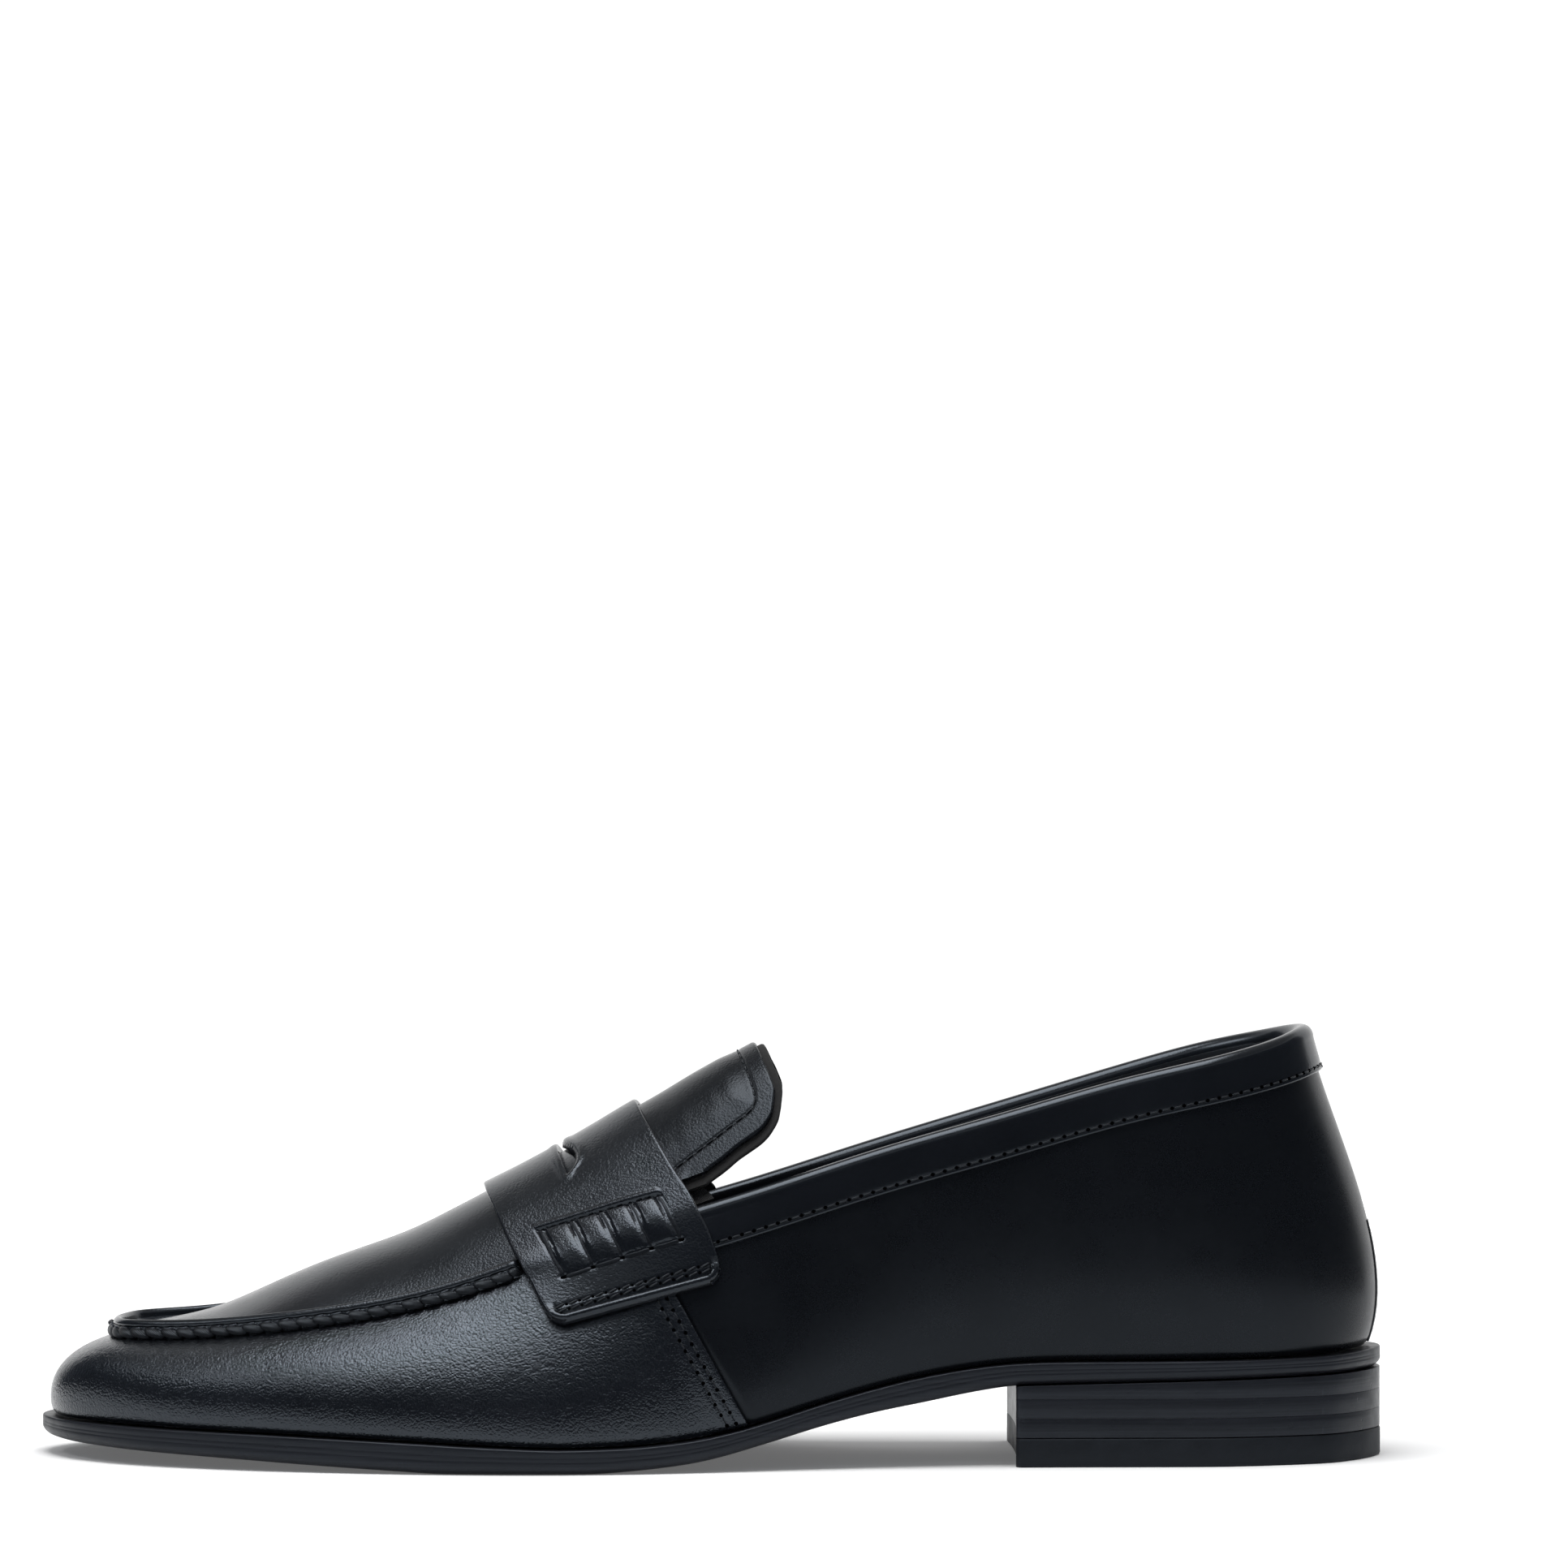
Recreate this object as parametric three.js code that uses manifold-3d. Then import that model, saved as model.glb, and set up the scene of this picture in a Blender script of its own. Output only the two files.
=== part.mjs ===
// Penny loafer, left shoe, men's EU 42. Millimetres, +Z up, toe towards -X, outer (lateral) side towards -Y.
// The upper is one smooth last surface. Every leather, lining and stiffener is a layer offset from it.
import * as THREE from 'three';
import { mergeVertices } from 'three/addons/utils/BufferGeometryUtils.js';
import Module from 'manifold-3d';

const wasm = await Module();
wasm.setup();

// ---------- driving dimensions ----------
const LEATHER = 1.3;          // outer leather thickness
const GAP = 0.3;              // clearance between neighbouring layers
const WELT_GAP = 0.45;        // upper's lasting margin above the outsole
const LASTING = 7.0;          // width of the turned-in lasting margin
const HEEL_BREAST_X = 66.3;   // front face of the heel block
const TOP_PIECE_Z = 6.3;      // height of the rubber heel top piece
const LIFT_Z = [6.4, 10.5, 10.6, 14.7, 14.8]; // heel lift levels
const INSET_INSOLE = 4.8;     // insole edge, in from the feather line
const LIP = 3.6;              // height of the moccasin seam's raised lips
const SEAM_END_X = -43.8;     // where the raised seam runs under the strap
const HINGE = { x: -15.5, z: 75.6 }; // crease about which the tongue lifts
const SLOT = { x: -31.2, halfLength: 13, halfWidth: 2.3 }; // eye-shaped slot in the strap

// outsole top and bottom heights along the shoe
const SOLE_TOP = [[-147.5, 8.4], [-125, 8.2], [-103, 7.9], [-85, 7.4], [-67, 6.7], [-48, 5.8], [-31, 5.2], [-17.5, 5.5], [-4, 6.7], [6, 8.6], [15, 11.1], [22, 13.3], [36, 17.2], [45, 19.3], [56, 21.2], [65, 22.2], [75, 22.6], [98, 22.7], [126, 23.0], [134, 23.2], [147.5, 24.0]];
const SOLE_BOTTOM = [[-147.5, 4.0], [-130, 3.3], [-103, 2.3], [-85, 1.4], [-67, 0.5], [-56, 0.0], [-25, 0.0], [-17, 0.45], [-4, 1.8], [3, 3.2], [10, 5.1], [17, 7.1], [22, 8.6], [36, 12.1], [47, 14.2], [56, 16.0], [62, 17.0], [66, 17.5], [68, 17.55], [147.5, 19.4]];
// outsole outline: x, lateral y, medial y
const OUTLINE = [[-146, -2, 14], [-143, -9, 20], [-138, -16.5, 26], [-130, -24.5, 32], [-120, -31.5, 37], [-105, -38.5, 42.5], [-90, -43.3, 46.5], [-75, -46.8, 49.2], [-60, -49.3, 50], [-45, -50.6, 48.5], [-30, -50.4, 44.5], [-15, -48.6, 38.5], [0, -45.5, 33], [20, -40.5, 28.5], [40, -36.5, 27], [60, -34, 28], [80, -33, 30], [100, -32.6, 31.5], [115, -31, 31], [130, -26, 26], [138, -20.5, 20.5], [144, -12, 12], [147, -4.5, 4.5]];
const TOE_TIP = [-147.5, 6], HEEL_TIP = [147.5, 0];
// last stations, toe round the lateral side to the heel and back along the medial side:
// feather x, y | rim x, y, z | profile bulges: low out, low rise, high out, high drop
const S = [
  [-145.3, 6, -131.5, 3.5, 26.0, 2.3, .55, 9, .15],
  [-142.5, -7.5, -130, -6.5, 26.1, 2.3, .55, 9, .15],
  [-134, -18.5, -125, -13.5, 26.3, 2.4, .52, 9, .15],
  [-118, -30.5, -112, -20, 26.9, 2.4, .5, 9, .16],
  [-98, -39.3, -94, -26.5, 28.8, 2.5, .47, 8.5, .17],
  [-76, -45, -73, -30, 31.9, 2.5, .45, 8, .2],
  [-54, -48, -53, -31.5, 36.8, 2.3, .4, 7.5, .24],
  [-32, -48.5, -33, -32, 44, 2, .35, 7, .3],
  [-10, -45, -12, -33, 52, 1.6, .33, 5.5, .32],
  [14, -40, 10, -33.5, 58.9, 1.6, .3, 4, .32],
  [40, -35, 36, -32.5, 67.3, 2.6, .3, 3, .3],
  [68, -32, 62, -30.5, 74.7, 3.6, .3, 2.6, .3],
  [95, -31, 88, -28.5, 82.0, 4.6, .3, 3, .33],
  [118, -28.5, 108, -25.5, 86.6, 5.6, .3, 3.6, .33],
  [134, -20.5, 122, -18, 90.0, 6.6, .29, 4.6, .32],
  [142.2, -10.5, 129, -9.5, 92.3, 7.6, .28, 5, .32],
  [144.6, 0, 131.5, 0, 93.2, 8, .28, 5.2, .32],
  [142.2, 10.5, 129, 9.5, 92.8, 7.6, .28, 5, .32],
  [134, 20.5, 122, 17.5, 91.2, 6.6, .29, 4.6, .32],
  [118, 28, 108, 24.5, 88.0, 5.6, .3, 3.6, .33],
  [95, 28.5, 88, 27, 82.3, 4.8, .3, 3, .33],
  [68, 26, 62, 28.5, 74.4, 4.4, .3, 2.6, .3],
  [40, 24.6, 36, 29.5, 66.4, 3.6, .3, 3, .3],
  [14, 27.5, 10, 30.8, 58.0, 2.2, .3, 4, .32],
  [-10, 34.2, -12.5, 31.5, 51.2, 1.8, .33, 5.5, .32],
  [-33, 42.8, -34, 33, 43.5, 2, .35, 7, .3],
  [-55, 47, -54, 34.5, 36.3, 2.3, .4, 7.5, .24],
  [-77, 46.2, -74, 34.5, 31.5, 2.5, .45, 8, .2],
  [-99, 41.8, -95, 32, 28.5, 2.5, .47, 8.5, .17],
  [-119, 34.3, -113, 26, 26.7, 2.4, .5, 9, .16],
  [-135, 25.3, -126, 19.5, 26.2, 2.4, .52, 9, .15],
  [-143, 16.8, -130.3, 12.5, 26.0, 2.3, .55, 9, .15]
];
// ridge line of the plug and tongue
const CROWN = [[-131, 27.2], [-127, 28], [-110, 31.5], [-103, 34.3], [-94, 38.4], [-85, 42.2], [-76, 45.4], [-67, 48.6], [-58, 53.0], [-50, 57.2], [-40, 62.2], [-31, 67.2], [-22, 72.4], [-15.9, 76.2], [-13.4, 77.4], [-4.5, 82.9], [4.5, 87.9], [10.8, 91.3], [20, 96]];
// strap edges: section coordinate (0 crown, 1 rim, 2 strap bottom), x
const STRAP_FRONT = [[0, -49.2], [.3, -48.2], [.56, -46], [.85, -42.3], [1, -39.6], [1.5, -36.2], [2, -32.9]];
const STRAP_REAR = [[0, -15.9], [.3, -14.2], [.6, -10.5], [.8, -6.9], [1, -2.2], [1.47, 1.2], [2, 3.6]];
// tongue end: section coordinate, x
const TONGUE_END = [[0, 10.8], [.207, 12], [.343, 13.1], [.463, 14.5], [.577, 15.6], [.641, 15.4], [.709, 14.9], [.763, 13.3], [.793, 11.4], [.807, 9.45], [.825, 6.5], [.855, 3.3], [.875, .66], [.885, -.6]];

// ---------- helpers ----------
const lerp = (a, b, t) => a + (b - a) * t;
const clamp = (x, a, b) => Math.min(b, Math.max(a, x));
const smooth = (a, b, x) => { const t = clamp((x - a) / (b - a), 0, 1); return t * t * (3 - 2 * t); };
const add = (a, b, k = 1) => [a[0] + b[0] * k, a[1] + b[1] * k, a[2] + b[2] * k];
const sub = (a, b) => [a[0] - b[0], a[1] - b[1], a[2] - b[2]];
const cross = (a, b) => [a[1] * b[2] - a[2] * b[1], a[2] * b[0] - a[0] * b[2], a[0] * b[1] - a[1] * b[0]];
const unit = (a) => { const l = Math.hypot(...a) || 1; return [a[0] / l, a[1] / l, a[2] / l]; };

// monotone cubic through a table, straight beyond its ends
function curve(table) {
  const n = table.length, x = table.map(p => p[0]), y = table.map(p => p[1]);
  const h = [], d = [], m = [];
  for (let i = 0; i < n - 1; i++) { h[i] = x[i + 1] - x[i]; d[i] = (y[i + 1] - y[i]) / h[i]; }
  m[0] = d[0]; m[n - 1] = d[n - 2];
  for (let i = 1; i < n - 1; i++) m[i] = d[i - 1] * d[i] <= 0 ? 0 : (3 * (h[i - 1] + h[i])) / ((2 * h[i] + h[i - 1]) / d[i - 1] + (h[i] + 2 * h[i - 1]) / d[i]);
  return v => {
    if (v <= x[0]) return y[0] + m[0] * (v - x[0]);
    if (v >= x[n - 1]) return y[n - 1] + m[n - 1] * (v - x[n - 1]);
    let i = 0; while (v > x[i + 1]) i++;
    const t = (v - x[i]) / h[i], t2 = t * t, t3 = t2 * t;
    return (2 * t3 - 3 * t2 + 1) * y[i] + (t3 - 2 * t2 + t) * h[i] * m[i] + (3 * t2 - 2 * t3) * y[i + 1] + (t3 - t2) * h[i] * m[i + 1];
  };
}
// periodic Catmull-Rom through rows
function ring(rows, q) {
  const n = rows.length; q = ((q % n) + n) % n;
  const i = Math.floor(q), f = q - i, f2 = f * f, f3 = f2 * f;
  const a = rows[(i + n - 1) % n], b = rows[i], c = rows[(i + 1) % n], d = rows[(i + 2) % n];
  return b.map((_, k) => 0.5 * (2 * b[k] + (c[k] - a[k]) * f + (2 * a[k] - 5 * b[k] + 4 * c[k] - d[k]) * f2 + (3 * b[k] - a[k] - 3 * c[k] + d[k]) * f3));
}
const soleTop = curve(SOLE_TOP), soleBottom = curve(SOLE_BOTTOM), crownZ = curve(CROWN);
const strapFront = curve(STRAP_FRONT), strapRear = curve(STRAP_REAR), tongueEnd = curve(TONGUE_END);

// ---------- the last surface ----------
const NS = S.length, HEEL_Q = NS / 2;
const station = q => ring(S, q);
function outward(q) {
  const a = station(q - 0.02), b = station(q + 0.02);
  const tx = b[0] + b[2] - a[0] - a[2], ty = b[1] + b[3] - a[1] - a[3], l = Math.hypot(tx, ty);
  return [ty / l, -tx / l];
}
function wall0(q, s) {
  const p = station(q), n = outward(q), z0 = soleTop(p[0]) + WELT_GAP, H = p[4] - z0;
  const A = [p[0], p[1], z0], B = [p[0] + n[0] * p[5], p[1] + n[1] * p[5], z0 + p[6] * H];
  const C = [p[2] + n[0] * p[7], p[3] + n[1] * p[7], p[4] - p[8] * H], D = [p[2], p[3], p[4]];
  const t = s, u = 1 - s;
  return [0, 1, 2].map(i => u * u * u * A[i] + 3 * u * u * t * B[i] + 3 * u * t * t * C[i] + t * t * t * D[i]);
}
function wallNormal(q, s) {
  const e = 0.02, a = Math.max(0, s - e), b = Math.min(1, s + e);
  return unit(cross(sub(wall0(q + e, s), wall0(q - e, s)), sub(wall0(q, b), wall0(q, a))));
}
const wall = (q, s, d = 0) => d ? add(wall0(q, s), wallNormal(q, s), d) : wall0(q, s);
function wallS(q, z) { // profile parameter at height z
  let a = 0, b = 1; for (let i = 0; i < 22; i++) { const m = (a + b) / 2; if (wall0(q, m)[2] < z) a = m; else b = m; } return (a + b) / 2;
}
const sideQ = (side, k) => side < 0 ? k : NS - k; // k: 0 toe, 16 heel
function wallAt(side, X, z) { // [q, s] where the wall passes x, z
  let a = 0.6, b = 15.4, s = 0;
  for (let i = 0; i < 22; i++) { const m = (a + b) / 2; s = wallS(sideQ(side, m), z); if (wall0(sideQ(side, m), s)[0] < X) a = m; else b = m; }
  return [sideQ(side, (a + b) / 2), s];
}
function rimTable(side, inset) {
  const t = [];
  for (let k = 0; k <= 15.6; k += 0.1) {
    const q = sideQ(side, k), p = station(q), n = outward(q);
    t.push([p[2] - n[0] * inset, p[3] - n[1] * inset, p[4], k]);
  }
  return X => {
    let i = 0; while (i < t.length - 2 && t[i + 1][0] < X) i++;
    const f = clamp((X - t[i][0]) / (t[i + 1][0] - t[i][0]), 0, 1);
    return [1, 2, 3].map(j => lerp(t[i][j], t[i + 1][j], f));
  };
}
const rimL = rimTable(-1, 0), rimM = rimTable(1, 0);
function top0(X, s) { // plug and tongue surface; s from -1 lateral rim to 1 medial rim
  const L = rimL(X), M = rimM(X), y = lerp(L[0], M[0], (s + 1) / 2), zr = lerp(L[1], M[1], (s + 1) / 2);
  const power = lerp(2.0, 1.7, smooth(-60, -10, X));
  return [X, y, zr + (crownZ(X) - (L[1] + M[1]) / 2) * (1 - Math.pow(Math.abs(s), power))];
}
function topNormal(X, s) {
  const e = 0.15, f = 0.01;
  return unit(cross(sub(top0(X + e, s), top0(X - e, s)), sub(top0(X, s + f), top0(X, s - f))));
}
const top = (X, s, d = 0) => add(top0(X, s), topNormal(X, s), d);
// a point of the saddle surface: c from -2 (lateral bottom) over the crown to 2 (medial bottom)
const strapBottomZ = X => 30.4 + (X + 32.7) * 0.275;
function saddle(a, c, d, front = strapFront, rear = strapRear) {
  const side = c < 0 ? -1 : 1, k = Math.abs(c), X = lerp(front(k), rear(k), a);
  if (k <= 1) return top(X, side * k, d);
  const rim = side < 0 ? rimL(X) : rimM(X);
  const [q, s] = wallAt(side, X, lerp(rim[1], strapBottomZ(X), k - 1));
  return wall(q, s, d);
}

// ---------- solids ----------
function meshOf(vertices, triangles) {
  let volume = 0;
  for (const [a, b, c] of triangles) { const p = vertices[a], r = cross(vertices[b], vertices[c]); volume += p[0] * r[0] + p[1] * r[1] + p[2] * r[2]; }
  const g = new THREE.BufferGeometry();
  g.setAttribute('position', new THREE.BufferAttribute(new Float32Array(vertices.flat()), 3));
  g.setIndex(triangles.flatMap(t => volume < 0 ? [t[0], t[2], t[1]] : t));
  return g;
}
function slab(outer, inner) { // closed sheet between two equal grids
  const R = outer.length, C = outer[0].length, v = [...outer.flat(), ...inner.flat()], o = R * C, f = [];
  const quad = (a, b, c, d) => { f.push([a, b, c], [a, c, d]); };
  for (let i = 0; i < R - 1; i++) for (let j = 0; j < C - 1; j++) {
    const a = i * C + j; quad(a, a + 1, a + C + 1, a + C); quad(o + a, o + a + C, o + a + C + 1, o + a + 1);
  }
  for (let j = 0; j < C - 1; j++) { quad(j, o + j, o + j + 1, j + 1); const a = (R - 1) * C + j; quad(a, a + 1, o + a + 1, o + a); }
  for (let i = 0; i < R - 1; i++) { const a = i * C; quad(a, a + C, o + a + C, o + a); const b = a + C - 1; quad(b, o + b, o + b + C, b + C); }
  return meshOf(v, f);
}
function stack(loops) { // closed loops one above another, capped by strips; point i faces point n-1-i
  const n = loops[0].length, v = loops.flat(), f = [];
  const quad = (a, b, c, d) => { f.push([a, b, c], [a, c, d]); };
  for (let l = 0; l < loops.length - 1; l++) for (let i = 0; i < n; i++) { const j = (i + 1) % n; quad(l * n + i, l * n + j, (l + 1) * n + j, (l + 1) * n + i); }
  const t = (loops.length - 1) * n;
  for (let i = 0; i < n / 2 - 1; i++) { quad(n - 1 - i, n - 2 - i, i + 1, i); quad(t + i, t + i + 1, t + n - 2 - i, t + n - 1 - i); }
  return meshOf(v, f);
}
function rod(path, r, sides) { // round cord along a path, flat ends
  const v = [], f = []; let nrm = [0, 0, 1];
  path.forEach((p, i) => {
    const t = unit(sub(path[Math.min(i + 1, path.length - 1)], path[Math.max(i - 1, 0)]));
    nrm = unit(cross(cross(t, nrm), t)); const b = cross(t, nrm);
    for (let k = 0; k < sides; k++) { const a = 2 * Math.PI * k / sides; v.push(add(add(p, nrm, r * Math.cos(a)), b, r * Math.sin(a))); }
  });
  const n = path.length;
  for (let i = 0; i < n - 1; i++) for (let k = 0; k < sides; k++) { const a = i * sides + k, b = i * sides + (k + 1) % sides; f.push([a, b, b + sides], [a, b + sides, a + sides]); }
  for (let k = 1; k < sides - 1; k++) { f.push([0, k + 1, k]); const o = (n - 1) * sides; f.push([o, o + k, o + k + 1]); }
  return meshOf(v, f);
}
function solid(geometry) {
  const g = geometry.clone(); g.deleteAttribute('normal'); g.deleteAttribute('uv');
  const m = mergeVertices(g, 1e-5);
  return new wasm.Manifold(new wasm.Mesh({ numProp: 3, vertProperties: new Float32Array(m.attributes.position.array), triVerts: new Uint32Array(m.index.array) }));
}
function geometryOf(manifold) {
  const m = manifold.getMesh(), g = new THREE.BufferGeometry();
  g.setAttribute('position', new THREE.BufferAttribute(new Float32Array(m.vertProperties), 3));
  g.setIndex(new THREE.BufferAttribute(new Uint32Array(m.triVerts), 1));
  return g;
}
const cut = (g, ...tools) => geometryOf(tools.reduce((m, t) => m.subtract(solid(t)), solid(g)));
const pin = (x, y, z0, z1, r, sides = 10) => new THREE.CylinderGeometry(r, r, z1 - z0, sides).rotateX(Math.PI / 2).translate(x, y, (z0 + z1) / 2);

// outsole plan: closed loop from the heel tip along the lateral side to the toe and back
const PLAN = [HEEL_TIP, ...OUTLINE.slice().reverse().map(p => [p[0], p[1]]), TOE_TIP, ...OUTLINE.map(p => [p[0], p[2]])];
function planPoint(q, inset) {
  const p = ring(PLAN, q), a = ring(PLAN, q - 0.05), b = ring(PLAN, q + 0.05), l = Math.hypot(b[0] - a[0], b[1] - a[1]);
  return [p[0] + (b[1] - a[1]) / l * inset, p[1] - (b[0] - a[0]) / l * inset];
}
// feather loop of the upper, same direction as PLAN
function featherPoint(q, inset) {
  const p = station(q), a = station(q - 0.05), b = station(q + 0.05), l = Math.hypot(b[0] - a[0], b[1] - a[1]);
  return [p[0] - (b[1] - a[1]) / l * inset, p[1] + (b[0] - a[0]) / l * inset];
}
const half = PLAN.length / 2;
// point function: t in 0..1 from heel to toe, side -1 lateral, 1 medial
const soleAt = (t, side, inset) => planPoint(side < 0 ? t * half : PLAN.length - t * half, inset);
const lastAt = (t, side, inset) => featherPoint(side < 0 ? HEEL_Q * (1 - t) : HEEL_Q * (1 + t), inset);
// parameter at which the plan crosses x
function crossing(at, side, inset, x) { let a = 0.001, b = 0.999; for (let i = 0; i < 30; i++) { const m = (a + b) / 2; if (at(m, side, inset)[0] > x) a = m; else b = m; } return (a + b) / 2; }
function loop(at, inset, n, z, xFrom = -1e3, xTo = 1e3) { // heel end first; n points a side
  const pts = [], sides = [-1, 1].map(side => {
    const a = xTo > 900 ? 0.5 / n / 1.4 : crossing(at, side, inset, xTo), b = xFrom < -900 ? 1 - 0.5 / n / 1.4 : crossing(at, side, inset, xFrom);
    return Array.from({ length: n }, (_, i) => at(lerp(a, b, i / (n - 1)), side, inset));
  });
  for (const p of sides[0]) pts.push([p[0], p[1], z(p[0])]);
  for (const p of sides[1].reverse()) pts.push([p[0], p[1], z(p[0])]);
  return pts;
}

const group = new THREE.Group();
function part(name, geometry, color, roughness, metalness = 0, parent = group) {
  const g = geometry.index ? geometry : mergeVertices(geometry);
  g.computeVertexNormals();
  const mesh = new THREE.Mesh(g, new THREE.MeshStandardMaterial({ color, roughness, metalness }));
  mesh.name = name; parent.add(mesh); return mesh;
}

// ---------- bottom ----------
const nails = [[84, -17], [84, 16], [112, -21], [112, 21], [134, 0]];
const nailHoles = (z0, z1) => nails.map(([x, y]) => pin(x, y, z0, z1, 1.15));
const screwHole = (z0, z1) => pin(100, 0, z0, z1, 2.3, 12);
const N = 26;
part('outsole', cut(stack([
  loop(soleAt, 2.4, N, soleBottom), loop(soleAt, 0.7, N, x => soleBottom(x) + 0.55), loop(soleAt, 0, N, x => soleBottom(x) + 1.7),
  loop(soleAt, 0, N, x => soleTop(x) - 0.4), loop(soleAt, 0.4, N, soleTop)]), screwHole(15, 30)), 0x17181c, 0.5);
const heelLoop = (inset, z) => loop(soleAt, inset, 16, z, HEEL_BREAST_X, 1e3);
const flat = z => () => z;
part('heel_top_piece', cut(stack([heelLoop(0.5, flat(0)), heelLoop(0, flat(0.5)), heelLoop(0, flat(TOP_PIECE_Z))]), ...nailHoles(-1, 8)), 0x101114, 0.75);
part('heel_lift_lower', cut(stack([heelLoop(0.35, flat(LIFT_Z[0])), heelLoop(0.35, flat(LIFT_Z[1]))]), ...nailHoles(5, 12)), 0x17181c, 0.5);
part('heel_lift_middle', cut(stack([heelLoop(0.35, flat(LIFT_Z[2])), heelLoop(0.35, flat(LIFT_Z[3]))]), ...nailHoles(9, 13.2), screwHole(11.7, 16)), 0x17181c, 0.5);
part('heel_lift_upper', cut(stack([heelLoop(0.35, flat(LIFT_Z[4])), heelLoop(0.35, x => soleBottom(x) - 0.15 - 0.5 * (1 - smooth(66, 76, x)))]), screwHole(13, 22)), 0x17181c, 0.5);
nails.forEach(([x, y], i) => part(`heel_nail_${i + 1}`, pin(x, y, 0.35, 12.9, 0.95), 0x8d8f92, 0.4, 0.9));
part('heel_screw', pin(100, 0, 12.2, 26.3, 2.0, 12), 0x9a9c9e, 0.35, 0.9);
part('cork_filler', stack([loop(lastAt, 8.6, 18, x => soleTop(x) + 0.3, -1e3, -14), loop(lastAt, 8.6, 18, x => soleTop(x) + 1.6, -1e3, -14)]), 0xa9784a, 0.9);
{ // spring steel strip under the waist
  const xs = Array.from({ length: 13 }, (_, i) => lerp(-11, 88, i / 12)), row = dz => xs.map(x => [-6, 6].map(y => [x, y + 0.05 * (40 - x) / 10 - 1, soleTop(x) + dz]));
  part('steel_shank', slab(row(1.5), row(0.35)), 0x9da1a6, 0.35, 0.9);
}
const insoleLow = x => soleTop(x) + 2.2, insoleHigh = x => soleTop(x) + 4.0;
part('insole_board', cut(stack([loop(lastAt, INSET_INSOLE, 24, insoleLow), loop(lastAt, INSET_INSOLE, 24, insoleHigh)]), screwHole(18, 30)), 0xb48a5c, 0.85);
part('heel_cushion', stack([loop(lastAt, 9, 12, x => soleTop(x) + 4.2, 84), loop(lastAt, 9.6, 12, x => soleTop(x) + 5.9, 85)]), 0x2a2a2c, 0.9);
const sockLift = x => soleTop(x) + 4.3 + 1.9 * smooth(62, 78, x);
part('sock_liner', stack([loop(lastAt, INSET_INSOLE + 0.2, 26, sockLift), loop(lastAt, INSET_INSOLE + 0.2, 26, x => sockLift(x) + 1.0)]), 0x1c1c1f, 0.6);

// ---------- upper ----------
// a wall layer between two edges, with an optional turned-in lasting margin and seam lip
function wallLayer({ columns, rows, edge0, edge1, dOut, dIn, margin, lowZ, lip, topS = 1, topZ = null }) {
  const outer = [], inner = [];
  for (let i = 0; i <= columns; i++) {
    const a = i / columns, o = [], n = [];
    const at = (f, d) => { // f: fraction of height from the low edge to the top edge
      const q0 = edge0(f), q1 = edge1(f), q = lerp(q0, q1, a), s0 = lowZ ? wallS(q, soleTop(station(q)[0]) + lowZ) : 0;
      const s1 = topZ ? Math.min(topS, wallS(q, topZ(q))) : topS;
      return { q, s: lerp(s0, s1, f) };
    };
    if (margin) {
      const { q } = at(0), p = station(q), w = outward(q), z = soleTop(p[0]) + WELT_GAP;
      const tip = [p[0] - w[0] * LASTING, p[1] - w[1] * LASTING];
      o.push([tip[0], tip[1], soleTop(tip[0]) + WELT_GAP]); n.push([tip[0], tip[1], soleTop(tip[0]) + WELT_GAP + LEATHER]);
      o.push([p[0] - w[0] * 0.2, p[1] - w[1] * 0.2, z]); n.push([p[0] - w[0] * (LEATHER + 0.4), p[1] - w[1] * (LEATHER + 0.4), z + LEATHER]);
    }
    if (margin) { const { q, s } = at(0.055); o.push(wall(q, s, dOut)); n.push(wall(q, s, dIn)); }
    for (let j = margin ? 1 : 0; j <= rows; j++) {
      const { q, s } = at(j / rows); o.push(wall(q, s, dOut)); n.push(wall(q, s, dIn));
    }
    if (lip) {
      const { q, s } = at(1), h = LIP * (1 - smooth(SEAM_END_X - 3, SEAM_END_X, station(q)[2])), w = outward(q), r = wall(q, s, 0);
      if (h >= 0) { o.push([r[0], r[1], r[2] + h + 0.15]); n.push([r[0] - w[0] * LEATHER, r[1] - w[1] * LEATHER, r[2] + h + 0.15]); }
    }
    outer.push(o); inner.push(n);
  }
  return slab(outer, inner);
}
// side seam: the vamp's rear edge, leaning forward as it rises
const seamX = z => lerp(9.5, -7.3, (z - 9) / 30);
function seamQ(side, shift) {
  const cache = {};
  return f => {
    const key = f.toFixed(4); if (key in cache) return cache[key];
    let a = 6, b = 11.5;
    for (let i = 0; i < 24; i++) { const m = (a + b) / 2, p = wall0(sideQ(side, m), f); if (p[0] < seamX(Math.min(p[2], 44)) + shift) a = m; else b = m; }
    return cache[key] = sideQ(side, (a + b) / 2);
  };
}
const vL = seamQ(-1, -0.3), vM0 = seamQ(1, -0.3), vM = f => vM0(f) - NS; // the vamp runs through q = 0
part('vamp', wallLayer({ columns: 38, rows: 6, edge0: vM, edge1: vL, dOut: 0, dIn: -LEATHER, margin: true, lip: true }), 0x17181b, 0.38);
const qL = seamQ(-1, 0.3), qM = seamQ(1, 0.3);
part('quarter_lateral', wallLayer({ columns: 18, rows: 6, edge0: qL, edge1: () => HEEL_Q - 0.014, dOut: 0, dIn: -LEATHER, margin: true }), 0x191a1e, 0.3);
part('quarter_medial', wallLayer({ columns: 18, rows: 6, edge0: () => HEEL_Q + 0.014, edge1: qM, dOut: 0, dIn: -LEATHER, margin: true }), 0x191a1e, 0.3);
const LAYER_GAP = 0.45, L1 = -LEATHER - LAYER_GAP, L2 = L1 - 0.7, L3 = L2 - LAYER_GAP, L4 = L3 - 0.8;
const qL2 = seamQ(-1, 1.1), qM2 = seamQ(1, 1.1);
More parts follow.
